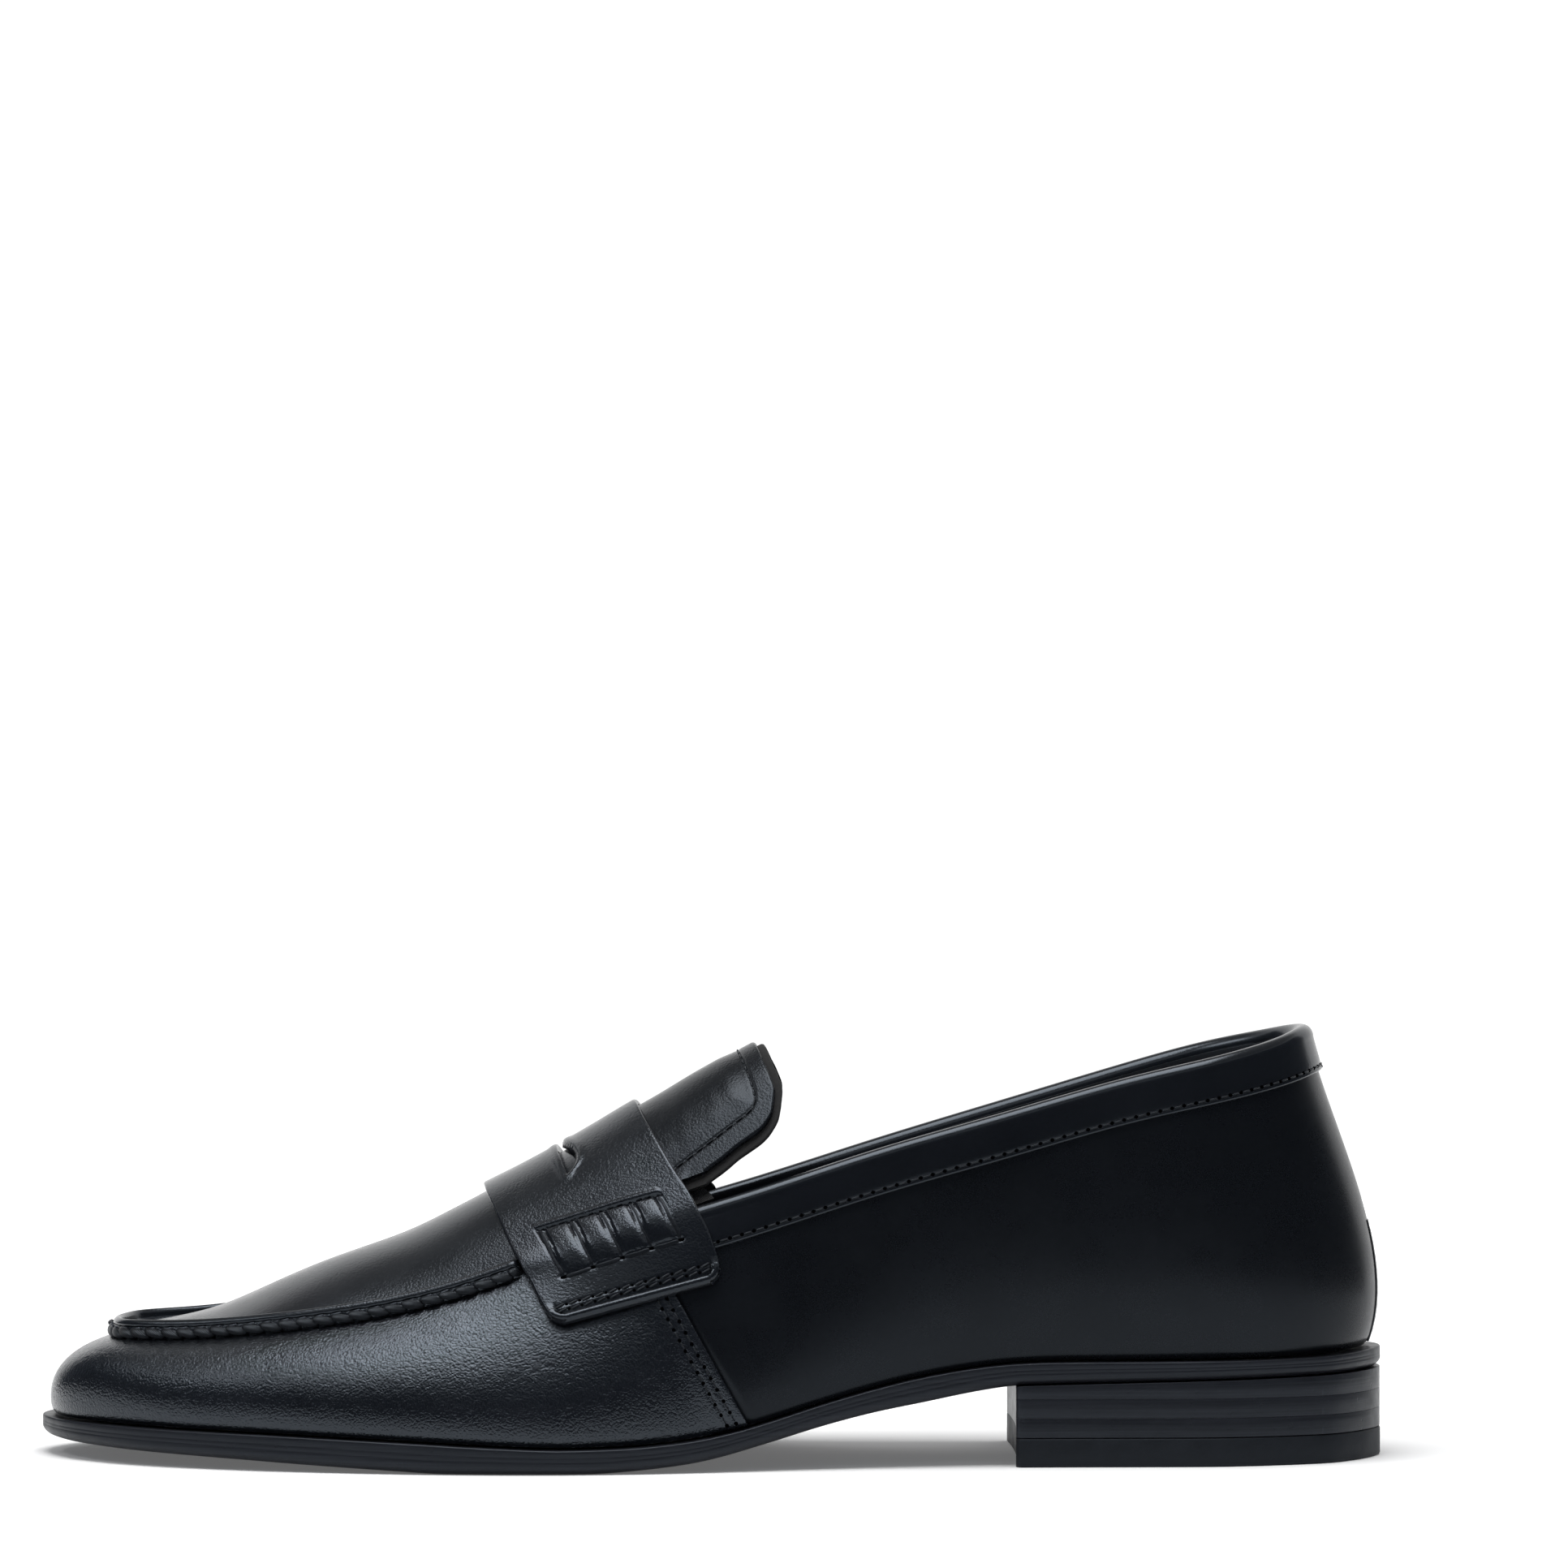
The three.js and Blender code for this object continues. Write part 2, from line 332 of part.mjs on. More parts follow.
part('toe_puff', wallLayer({ columns: 14, rows: 3, edge0: () => -4.2, edge1: () => 4.2, dOut: L1, dIn: L2, lowZ: 2.7, topS: 0.93 }), 0x5a4a38, 0.8);
part('heel_counter', wallLayer({ columns: 18, rows: 4, edge0: () => 11.4, edge1: () => 20.6, dOut: L1, dIn: L2, lowZ: 2.7, topZ: q => lerp(62, 42, smooth(0, 5, Math.abs(q - HEEL_Q))) }), 0x5a4a38, 0.8);
part('vamp_lining', wallLayer({ columns: 28, rows: 4, edge0: vM, edge1: vL, dOut: L3, dIn: L4, lowZ: 2.7, topS: 0.97 }), 0x222226, 0.7);
part('quarter_lining_lateral', wallLayer({ columns: 14, rows: 5, edge0: qL2, edge1: () => HEEL_Q - 0.02, dOut: L3, dIn: L4, lowZ: 2.7, topS: 0.985 }), 0x222226, 0.7);
part('quarter_lining_medial', wallLayer({ columns: 14, rows: 5, edge0: () => HEEL_Q + 0.02, edge1: qM2, dOut: L3, dIn: L4, lowZ: 2.7, topS: 0.985 }), 0x222226, 0.7);
{ // back stay over the rear seam
  const rows = 7, cols = 4, grid = d => Array.from({ length: cols + 1 }, (_, i) => Array.from({ length: rows + 1 }, (_, j) => {
    const q = HEEL_Q + lerp(-0.42, 0.42, i / cols); return wall(q, wallS(q, lerp(25.5, 51.5, j / rows)), d);
  }));
  part('back_stay', slab(grid(0.9), grid(0.3)), 0x191a1e, 0.35);
}
{ // collar binding folded over the top edge
  const cols = 34, strip = 8.8;
  const startQ = side => drop => { const c = 1 + clamp(drop / 17, 0, 1); return wallAt(side, strapRear(c) + 1.0, 55.5 - drop)[0]; };
  const qs = (j, a) => { const drop = [strip, 6, 3, 0, 0, 0, 0, 0][j]; return lerp(startQ(-1)(drop), startQ(1)(drop), a); };
  const chain = (a, o) => {
    const out = [];
    for (let j = 0; j < 8; j++) {
      const q = qs(j, a), rimS = 1, H = wall0(q, 1)[2], w = outward(q);
      if (j < 4) { const s = wallS(q, H - [strip, 6, 3, 0][j]); out.push(wall(q, j === 3 ? 1 : s, o ? 1.1 : 0.35)); }
      else if (j === 4) { const p = wall(q, rimS, o ? 0.6 : 0.1); out.push([p[0], p[1], p[2] + (o ? 1.1 : 0.4)]); }
      else if (j === 5) { const p = wall(q, rimS, o ? -4.4 : -3.8); out.push([p[0], p[1], p[2] + (o ? 1.0 : 0.3)]); }
      else { const s = wallS(q, H - (j === 6 ? 0.6 : 6)); out.push(wall(q, s, o ? -4.75 : -4.1)); }
    }
    return out;
  };
  const grid = o => Array.from({ length: cols + 1 }, (_, i) => chain(i / cols, o));
  part('collar_binding', slab(grid(true), grid(false)), 0x191a1e, 0.3);
}
{ // plug (apron) with its edges turned up against the vamp's lip
  const inR = [rimTable(-1, LEATHER + 0.35), rimTable(1, LEATHER + 0.35)], inR2 = [rimTable(-1, 2 * LEATHER + 0.35), rimTable(1, 2 * LEATHER + 0.35)];
  const sOf = (X, y) => { const L = rimL(X)[0], M = rimM(X)[0]; return 2 * (y - L) / (M - L) - 1; };
  const front = -128.6;
  const rear = s => strapRear(Math.min(1, Math.abs(s))) - 4.2;
  const build = (dUp, dDown, lips, along, across, x0 = front, x1 = 0) => {
    const up = [], down = [];
    for (let i = 0; i <= along; i++) {
      const t = i / along, tt = lerp(t * t * 0.6 + t * 0.4, t, 0.5), u = [], d = [];
      const Xat = s => lerp(x0, rear(s) - x1, tt);
      const XL = Xat(-1), XM = Xat(1);
      const hL = LIP * (1 - smooth(SEAM_END_X - 3, SEAM_END_X, XL)), hM = LIP * (1 - smooth(SEAM_END_X - 3, SEAM_END_X, XM));
      const a2 = sOf(XL, inR2[0](XL)[0]), b2 = sOf(XM, inR2[1](XM)[0]), a1 = sOf(XL, inR[0](XL)[0]), b1 = sOf(XM, inR[1](XM)[0]);
      if (lips) {
        const pu = top(XL, a2, 0), pd = top(XL, a1, 0);
        u.push([pu[0], pu[1], pd[2] + hL + 0.2]); d.push([pd[0], pd[1], pd[2] + hL + 0.2]);
      }
      for (let j = 0; j <= across; j++) {
        const v = j / across, s = lerp(a2, b2, v), sd = lips ? lerp(a1, b1, v) : s, X = Xat(s), Xd = Xat(sd);
        u.push(top(X, s, dUp)); d.push(top(lips ? Xd : X, sd, dDown));
      }
      if (lips) {
        const pu = top(XM, b2, 0), pd = top(XM, b1, 0);
        u.push([pu[0], pu[1], pd[2] + hM + 0.2]); d.push([pd[0], pd[1], pd[2] + hM + 0.2]);
      }
      up.push(u); down.push(d);
    }
    return slab(up, down);
  };
  part('apron_plug', build(0, -LEATHER, true, 20, 10), 0x1a1b1e, 0.36);
  part('plug_lining', build(L3 + 0.5, L4 + 0.5, false, 12, 8, front + 4, 0.5), 0x222226, 0.7);
}
{ // thread lying in the moccasin seam
  const kL = rimL(SEAM_END_X - 1)[2], kM = rimM(SEAM_END_X - 1)[2], path = [];
  for (let i = 0; i <= 50; i++) {
    const q = lerp(-kM, kL, i / 50), p = station(q), w = outward(q);
    path.push([p[2] + w[0] * 0.95, p[3] + w[1] * 0.95, p[4] + 1.7]);
  }
  part('apron_seam_thread', rod(path, 0.45, 4), 0x1a1a1c, 0.6);
}
// ---------- saddle strap ----------
const spread = n => Array.from({ length: n + 1 }, (_, i) => { const x = lerp(-2, 2, i / n); return x; });
function strapSlab(a0, a1, na, cs, dOut, dIn) {
  const grid = d => Array.from({ length: na + 1 }, (_, i) => cs.map(c => saddle(lerp(a0, a1, i / na), c, d)));
  return slab(grid(dOut), grid(dIn));
}
{
  const shape = new THREE.Shape(), h = SLOT.halfLength, w = SLOT.halfWidth;
  shape.moveTo(0, -h); shape.quadraticCurveTo(w * 2, 0, 0, h); shape.quadraticCurveTo(-w * 2, 0, 0, -h);
  const eye = new THREE.ExtrudeGeometry(shape, { depth: 40, bevelEnabled: false, curveSegments: 8 });
  eye.translate(SLOT.x, 0.4, 50);
  part('saddle_strap', cut(strapSlab(0, 1, 6, spread(28), 2.4, 0.7), eye), 0x1a1b1e, 0.34);
  for (const side of [-1, 1]) {
    const cs = Array.from({ length: 4 }, (_, i) => side * lerp(0.95, 1.34, i / 3));
    const tools = [0, 1, 2, 3].map(i => {
      const a0 = lerp(0.2, 0.83, (i + 0.13) / 4), a1 = lerp(0.2, 0.83, (i + 0.87) / 4);
      const ring1 = [side * 0.99, side * 1.25];
      const g = d => [a0, a1].map(a => ring1.map(c => saddle(a, c, d)));
      return slab(g(5), g(1));
    });
    part(side < 0 ? 'strap_lacing_lateral' : 'strap_lacing_medial', cut(strapSlab(0.18, 0.85, 5, cs, 3.65, 2.9), ...tools), 0x151619, 0.45);
  }
}
// ---------- tongue ----------
const tongueGroup = new THREE.Group(); group.add(tongueGroup);
{
  const build = (d0, d1, trim) => {
    const ss = [-.885, -.855, -.825, -.8, -.763, -.7, -.6, -.4, -.2, 0, .2, .4, .6, .7, .763, .8, .825, .855, .885];
    const cols = 5;
    const grid = d => ss.map(s => Array.from({ length: cols + 1 }, (_, j) => {
      const k = Math.abs(s), x0 = strapRear(k) - 1.4 + trim * 0.3, x1 = Math.max(tongueEnd(k) - trim, x0 + 2);
      return top(lerp(x0, x1, j / cols), s, d);
    }));
    return slab(grid(d0), grid(d1));
  };
  part('tongue', build(0, -1.2, 0), 0x1a1b1e, 0.4, 0, tongueGroup);
  part('tongue_lining', build(-1.5, -2.2, 0.2), 0x2a2a2c, 0.7, 0, tongueGroup);
}
for (const side of [-1, 1]) { // elastic gore between tongue and quarter, inside the throat
  const grid = d => Array.from({ length: 6 }, (_, i) => Array.from({ length: 5 }, (_, j) => {
    const s = lerp(0.7, 0.94, i / 5), x0 = strapRear(s) - 9, x1 = strapRear(s) + lerp(0.5, 4.0, smooth(0.7, 0.94, s));
    return top(lerp(x0, x1, j / 4), side * s, d);
  }));
  part(side < 0 ? 'gore_lateral' : 'gore_medial', slab(grid(-3.5), grid(-4.3)), 0x141416, 0.9);
}

// ---------- origin: centre of the footprint at ground level ----------
const box = new THREE.Box3().setFromObject(group);
group.position.set(-(box.min.x + box.max.x) / 2, -(box.min.y + box.max.y) / 2, -box.min.z);
group.updateMatrixWorld(true);

export default group;
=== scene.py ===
import math

import bpy
import numpy as np
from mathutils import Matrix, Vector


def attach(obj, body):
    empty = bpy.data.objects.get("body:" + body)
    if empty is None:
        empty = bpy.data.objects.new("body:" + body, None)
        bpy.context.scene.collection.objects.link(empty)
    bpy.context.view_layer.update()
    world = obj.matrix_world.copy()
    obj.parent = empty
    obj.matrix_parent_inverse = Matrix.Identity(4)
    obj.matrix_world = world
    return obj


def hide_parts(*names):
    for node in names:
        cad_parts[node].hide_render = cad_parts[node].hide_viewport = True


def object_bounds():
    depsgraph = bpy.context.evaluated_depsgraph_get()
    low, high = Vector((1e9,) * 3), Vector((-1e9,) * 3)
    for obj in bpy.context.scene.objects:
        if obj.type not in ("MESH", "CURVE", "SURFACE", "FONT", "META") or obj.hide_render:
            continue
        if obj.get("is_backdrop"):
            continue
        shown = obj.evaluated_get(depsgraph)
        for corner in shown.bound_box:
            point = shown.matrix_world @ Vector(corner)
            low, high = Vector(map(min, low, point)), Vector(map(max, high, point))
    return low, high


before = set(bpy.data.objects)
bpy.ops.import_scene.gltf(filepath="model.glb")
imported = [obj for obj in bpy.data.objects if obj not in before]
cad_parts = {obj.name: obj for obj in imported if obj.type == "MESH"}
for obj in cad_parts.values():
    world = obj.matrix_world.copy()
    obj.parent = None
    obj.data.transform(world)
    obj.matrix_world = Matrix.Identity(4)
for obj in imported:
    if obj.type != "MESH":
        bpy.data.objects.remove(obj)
CAD_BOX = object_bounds()


# ---------------------------------------------------------------- driving numbers (mm, the same tables the CAD parts in model.glb were built from)
LEATHER, WELT_GAP, LASTING, BREAST_X = 1.3, 0.45, 7.0, 66.3
SOLE_TOP = [[-147.5, 8.4], [-125, 8.2], [-103, 7.9], [-85, 7.4], [-67, 6.7], [-48, 5.8], [-31, 5.2], [-17.5, 5.5], [-4, 6.7], [6, 8.6], [15, 11.1], [22, 13.3], [36, 17.2], [45, 19.3], [56, 21.2], [65, 22.2], [75, 22.6], [98, 22.7], [126, 23.0], [134, 23.2], [147.5, 24.0]]
SOLE_BOTTOM = [[-147.5, 4.0], [-130, 3.3], [-103, 2.3], [-85, 1.4], [-67, 0.5], [-56, 0.0], [-25, 0.0], [-17, 0.45], [-4, 1.8], [3, 3.2], [10, 5.1], [17, 7.1], [22, 8.6], [36, 12.1], [47, 14.2], [56, 16.0], [62, 17.0], [66, 17.5], [68, 17.55], [147.5, 19.4]]
OUTLINE = [[-146, -2, 14], [-143, -9, 20], [-138, -16.5, 26], [-130, -24.5, 32], [-120, -31.5, 37], [-105, -38.5, 42.5], [-90, -43.3, 46.5], [-75, -46.8, 49.2], [-60, -49.3, 50], [-45, -50.6, 48.5], [-30, -50.4, 44.5], [-15, -48.6, 38.5], [0, -45.5, 33], [20, -40.5, 28.5], [40, -36.5, 27], [60, -34, 28], [80, -33, 30], [100, -32.6, 31.5], [115, -31, 31], [130, -26, 26], [138, -20.5, 20.5], [144, -12, 12], [147, -4.5, 4.5]]
TOE_TIP, HEEL_TIP = [-147.5, 6], [147.5, 0]
S = np.array([
  [-145.3, 6, -131.5, 3.5, 26.0, 2.3, .55, 9, .15],
  [-142.5, -7.5, -130, -6.5, 26.1, 2.3, .55, 9, .15],
  [-134, -18.5, -125, -13.5, 26.3, 2.4, .52, 9, .15],
  [-118, -30.5, -112, -20, 26.9, 2.4, .5, 9, .16],
  [-98, -39.3, -94, -26.5, 28.8, 2.5, .47, 8.5, .17],
  [-76, -45, -73, -30, 31.9, 2.5, .45, 8, .2],
  [-54, -48, -53, -31.5, 36.8, 2.3, .4, 7.5, .24],
  [-32, -48.5, -33, -32, 44, 2, .35, 7, .3],
  [-10, -45, -12, -33, 52, 1.6, .33, 5.5, .32],
  [14, -40, 10, -33.5, 58.9, 1.6, .3, 4, .32],
  [40, -35, 36, -32.5, 67.3, 2.6, .3, 3, .3],
  [68, -32, 62, -30.5, 74.7, 3.6, .3, 2.6, .3],
  [95, -31, 88, -28.5, 82.0, 4.6, .3, 3, .33],
  [118, -28.5, 108, -25.5, 86.6, 5.6, .3, 3.6, .33],
  [134, -20.5, 122, -18, 90.0, 6.6, .29, 4.6, .32],
  [142.2, -10.5, 129, -9.5, 92.3, 7.6, .28, 5, .32],
  [144.6, 0, 131.5, 0, 93.2, 8, .28, 5.2, .32],
  [142.2, 10.5, 129, 9.5, 92.8, 7.6, .28, 5, .32],
  [134, 20.5, 122, 17.5, 91.2, 6.6, .29, 4.6, .32],
  [118, 28, 108, 24.5, 88.0, 5.6, .3, 3.6, .33],
  [95, 28.5, 88, 27, 82.3, 4.8, .3, 3, .33],
  [68, 26, 62, 28.5, 74.4, 4.4, .3, 2.6, .3],
  [40, 24.6, 36, 29.5, 66.4, 3.6, .3, 3, .3],
  [14, 27.5, 10, 30.8, 58.0, 2.2, .3, 4, .32],
  [-10, 34.2, -12.5, 31.5, 51.2, 1.8, .33, 5.5, .32],
  [-33, 42.8, -34, 33, 43.5, 2, .35, 7, .3],
  [-55, 47, -54, 34.5, 36.3, 2.3, .4, 7.5, .24],
  [-77, 46.2, -74, 34.5, 31.5, 2.5, .45, 8, .2],
  [-99, 41.8, -95, 32, 28.5, 2.5, .47, 8.5, .17],
  [-119, 34.3, -113, 26, 26.7, 2.4, .5, 9, .16],
  [-135, 25.3, -126, 19.5, 26.2, 2.4, .52, 9, .15],
  [-143, 16.8, -130.3, 12.5, 26.0, 2.3, .55, 9, .15]], float)
CROWN = [[-131, 27.2], [-127, 28], [-110, 31.5], [-103, 34.3], [-94, 38.4], [-85, 42.2], [-76, 45.4], [-67, 48.6], [-58, 53.0], [-50, 57.2], [-40, 62.2], [-31, 67.2], [-22, 72.4], [-15.9, 76.2], [-13.4, 77.4], [-4.5, 82.9], [4.5, 87.9], [10.8, 91.3], [20, 96]]
STRAP_FRONT = [[0, -49.2], [.3, -48.2], [.56, -46], [.85, -42.3], [1, -39.6], [1.5, -36.2], [2, -32.9]]
STRAP_REAR = [[0, -15.9], [.3, -14.2], [.6, -10.5], [.8, -6.9], [1, -2.2], [1.47, 1.2], [2, 3.6]]
TONGUE_END = [[0, 10.8], [.207, 12], [.343, 13.1], [.463, 14.5], [.577, 15.6], [.641, 15.4], [.709, 14.9], [.763, 13.3], [.793, 11.4], [.807, 9.45], [.825, 6.5], [.855, 3.3], [.875, .66], [.885, -.6]]
HINGE_X, HINGE_Z = -15.5, 75.6


def smooth(a, b, x):
    t = np.clip((np.asarray(x, float) - a) / (b - a), 0, 1)
    return t * t * (3 - 2 * t)


def mix(a, b, t):
    return a + (b - a) * t


def curve(table):
    """Monotone cubic through a table, straight beyond its ends."""
    t = np.array(table, float)
    x, y = t[:, 0], t[:, 1]
    h = np.diff(x)
    d = np.diff(y) / h
    m = np.zeros(len(x))
    m[0], m[-1] = d[0], d[-1]
    for i in range(1, len(x) - 1):
        if d[i - 1] * d[i] > 0:
            m[i] = 3 * (h[i - 1] + h[i]) / ((2 * h[i] + h[i - 1]) / d[i - 1] + (h[i] + 2 * h[i - 1]) / d[i])

    def f(v):
        v = np.asarray(v, float)
        i = np.clip(np.searchsorted(x, v, side="right") - 1, 0, len(x) - 2)
        s = (v - x[i]) / h[i]
        s2, s3 = s * s, s * s * s
        r = (2 * s3 - 3 * s2 + 1) * y[i] + (s3 - 2 * s2 + s) * h[i] * m[i] + (3 * s2 - 2 * s3) * y[i + 1] + (s3 - s2) * h[i] * m[i + 1]
        r = np.where(v < x[0], y[0] + m[0] * (v - x[0]), r)
        return np.where(v > x[-1], y[-1] + m[-1] * (v - x[-1]), r)
    return f


def loop_spline(rows):
    """Periodic cubic spline, continuous in curvature, through rows at whole-number parameters."""
    y = np.array(rows, float)
    n = len(y)
    A = np.zeros((n, n))
    for i in range(n):
        A[i, i] = 4
        A[i, (i + 1) % n] = A[i, (i - 1) % n] = 1
    M = np.linalg.solve(A, 6 * (np.roll(y, -1, 0) - 2 * y + np.roll(y, 1, 0)))

    def f(q):
        q = np.mod(np.asarray(q, float), n)
        i = np.floor(q).astype(int) % n
        t = (q - np.floor(q))[..., None]
        j = (i + 1) % n
        u = 1 - t
        return u * y[i] + t * y[j] + ((u ** 3 - u) * M[i] + (t ** 3 - t) * M[j]) / 6
    return f


sole_top, sole_bottom, crown_z = curve(SOLE_TOP), curve(SOLE_BOTTOM), curve(CROWN)
strap_front, strap_rear, tongue_end = curve(STRAP_FRONT), curve(STRAP_REAR), curve(TONGUE_END)


def soften(f, w):
    """A curve averaged over +-w, so that its curvature is even."""
    k = np.linspace(-1, 1, 9)
    g = np.exp(-2.5 * k * k)
    g /= g.sum()
    return lambda v: sum(gi * f(np.asarray(v, float) + ki * w) for gi, ki in zip(g, k))


crown_s = soften(crown_z, 7.0)
sole_top_s = soften(sole_top, 5.0)
sole_bottom_s = soften(sole_bottom, 4.0)
NS, HEEL = len(S), len(S) // 2
station = loop_spline(S)
plan_loop = loop_spline([HEEL_TIP] + [[p[0], p[1]] for p in OUTLINE[::-1]] + [TOE_TIP] + [[p[0], p[2]] for p in OUTLINE])
NPL = 2 * len(OUTLINE) + 2


def unit(v):
    return v / np.maximum(np.linalg.norm(v, axis=-1, keepdims=True), 1e-12)


def outward(q):
    a, b = station(np.asarray(q) - 0.02), station(np.asarray(q) + 0.02)
    t = np.stack([b[..., 0] + b[..., 2] - a[..., 0] - a[..., 2], b[..., 1] + b[..., 3] - a[..., 1] - a[..., 3]], -1)
    t = unit(t)
    return np.stack([t[..., 1], -t[..., 0]], -1)


def wall0(q, s):
    q, s = np.broadcast_arrays(np.asarray(q, float), np.asarray(s, float))
    p, n = station(q), outward(q)
    z0 = sole_top_s(p[..., 0]) + WELT_GAP
    H = p[..., 4] - z0
    A = np.stack([p[..., 0], p[..., 1], z0], -1)
    B = np.stack([p[..., 0] + n[..., 0] * p[..., 5], p[..., 1] + n[..., 1] * p[..., 5], z0 + p[..., 6] * H], -1)
    C = np.stack([p[..., 2] + n[..., 0] * p[..., 7], p[..., 3] + n[..., 1] * p[..., 7], p[..., 4] - p[..., 8] * H], -1)
    D = p[..., 2:5]
    t = s[..., None]
    u = 1 - t
    return u ** 3 * A + 3 * u * u * t * B + 3 * u * t * t * C + t ** 3 * D


def wall_n(q, s):
    e = 0.02
    a, b = np.maximum(0, np.asarray(s) - e), np.minimum(1, np.asarray(s) + e)
    return unit(np.cross(wall0(q + e, s) - wall0(q - e, s), wall0(q, b) - wall0(q, a)))


def wall(q, s, d=0.0):
    q, s, d = np.broadcast_arrays(np.asarray(q, float), np.asarray(s, float), np.asarray(d, float))
    return wall0(q, s) + wall_n(q, s) * d[..., None]


def wall_s(q, z):
    q, z = np.broadcast_arrays(np.asarray(q, float), np.asarray(z, float))
    a, b = np.zeros(q.shape), np.ones(q.shape)
    for _ in range(20):
        m = (a + b) / 2
        low = wall0(q, m)[..., 2] < z
        a, b = np.where(low, m, a), np.where(low, b, m)
    return (a + b) / 2


def side_q(side, k):
    return k if side < 0 else NS - k


_profile_s = np.linspace(0, 1, 61)
_profile_k = np.arange(0.5, 15.51, 0.125)
_walls = {side: wall0(side_q(side, _profile_k)[:, None], _profile_s[None, :]) for side in (-1, 1)}


def wall_at(side, X, z):
    """Where the wall passes X and z: station and profile parameters."""
    X, z = np.broadcast_arrays(np.asarray(X, float), np.asarray(z, float))
    W = _walls[side]
    shape = X.shape
    X, z = X.ravel(), z.ravel()
    # start from the table, then Newton steps
    k = np.interp(X, station(side_q(side, _profile_k))[:, 2], _profile_k)
    s = np.full(X.shape, 0.8)
    for _ in range(14):
        q = side_q(side, k)
        p = wall0(q, s)
        e = 1e-3
        pk = (wall0(side_q(side, k + e), s) - p) / e
        ps = (wall0(q, np.minimum(s + e, 1.05)) - p) / e
        a, b, c, d = pk[:, 0], ps[:, 0], pk[:, 2], ps[:, 2]
        det = a * d - b * c
        rx, rz = X - p[:, 0], z - p[:, 2]
        dk = (rx * d - b * rz) / det
        ds = (a * rz - rx * c) / det
        k = np.clip(k + np.clip(dk, -1, 1), 0.6, 15.6)
        s = np.clip(s + np.clip(ds, -0.3, 0.3), 0, 1.0)
    return side_q(side, k).reshape(shape), s.reshape(shape)


def rim_table(side, inset):
    k = np.arange(0, 15.61, 0.05)
    q = side_q(side, k)
    p, n = station(q), outward(q)
    x, y, z = p[:, 2] - n[:, 0] * inset, p[:, 3] - n[:, 1] * inset, p[:, 4]
    o = np.argsort(x)
    return lambda X: (np.interp(X, x[o], y[o]), np.interp(X, x[o], z[o]), np.interp(X, x[o], k[o]))


rim_l, rim_m = rim_table(-1, 0), rim_table(1, 0)


def top0(X, s):
    """Plug and tongue surface; s from -1, lateral rim, to 1, medial rim."""
    X, s = np.broadcast_arrays(np.asarray(X, float), np.asarray(s, float))
    yl, zl, _ = rim_l(X)
    ym, zm, _ = rim_m(X)
    power = mix(2.0, 1.7, smooth(-60, -10, X))
    r = np.sqrt(s * s + 0.0025) - 0.05
    r1 = np.sqrt(1.0025) - 0.05
    return np.stack([X, mix(yl, ym, (s + 1) / 2), mix(zl, zm, (s + 1) / 2) + (crown_s(X) - (zl + zm) / 2) * (1 - np.clip(r / r1, 0, 2) ** power)], -1)


def top_n(X, s):
    e, f = 0.3, 0.01
    return unit(np.cross(top0(X + e, s) - top0(X - e, s), top0(X, s + f) - top0(X, s - f)))


def top(X, s, d=0.0):
    X, s, d = np.broadcast_arrays(np.asarray(X, float), np.asarray(s, float), np.asarray(d, float))
    return top0(X, s) + top_n(X, s) * d[..., None]


def strap_bottom_z(X):
    return 30.4 + (X + 32.7) * 0.275


def saddle0(a, c, front=strap_front, rear=strap_rear):
    """Surface below the strap: a 0 front edge, 1 rear edge; c from -2, lateral bottom, over the crown to 2."""
    a, c = np.broadcast_arrays(np.asarray(a, float), np.asarray(c, float))
    k = np.abs(c)
    X = mix(front(k), rear(k), a)
    out = top0(X, np.clip(c, -1, 1))
    for side in (-1, 1):
        m = (k > 1) & (np.sign(c) == side)
        if m.any():
            zr = (rim_l if side < 0 else rim_m)(X[m])[1]
            q, s = wall_at(side, X[m], mix(zr, strap_bottom_z(X[m]), k[m] - 1))
            out[m] = wall0(q, s)
    return out


def blur(P, n, axis):
    """Smooths a grid of points along one axis, keeping its two ends."""
    if n <= 0:
        return P
    k = np.exp(-0.5 * (np.arange(-3 * n, 3 * n + 1) / n) ** 2)
    k /= k.sum()
    P = np.moveaxis(P, axis, 0)
    w = 3 * n
    first, last = P[:1], P[-1:]
    ext = np.concatenate([2 * first - P[w:0:-1], P, 2 * last - P[-2:-w - 2:-1]], 0)
    out = sum(k[i] * ext[i:i + len(P)] for i in range(len(k)))
    return np.moveaxis(out, 0, axis)


def grid_n(P):
    """Unit normals of a grid of points."""
    return unit(np.cross(np.gradient(P, axis=0), np.gradient(P, axis=1)))


def plan(q, inset):
    p, a, b = plan_loop(q), plan_loop(np.asarray(q) - 0.05), plan_loop(np.asarray(q) + 0.05)
    t = unit(b - a)
    return np.stack([p[..., 0] + t[..., 1] * inset, p[..., 1] - t[..., 0] * inset], -1)


def feather(q, inset):
    p, a, b = station(q)[..., :2], station(np.asarray(q) - 0.05)[..., :2], station(np.asarray(q) + 0.05)[..., :2]
    t = unit(b - a)
    return np.stack([p[..., 0] - t[..., 1] * inset, p[..., 1] + t[..., 0] * inset], -1)

# ---------------------------------------------------------------- meshes as (points, quads, triangles), in mm
SHIFT = np.array([-0.2135, 0.3333, 0.0])
NO_TRIS = np.zeros((0, 3), int)


def grid_faces(n, m):
    i = np.arange(n * m).reshape(n, m)
    return np.stack([i[:-1, :-1], i[:-1, 1:], i[1:, 1:], i[1:, :-1]], -1).reshape(-1, 4)


def point_normals(V, F):
    N = np.zeros_like(V)
    n = np.cross(V[F[:, 2]] - V[F[:, 0]], V[F[:, 3]] - V[F[:, 1]])
    for k in range(4):
        np.add.at(N, F[:, k], n)
    return unit(N)


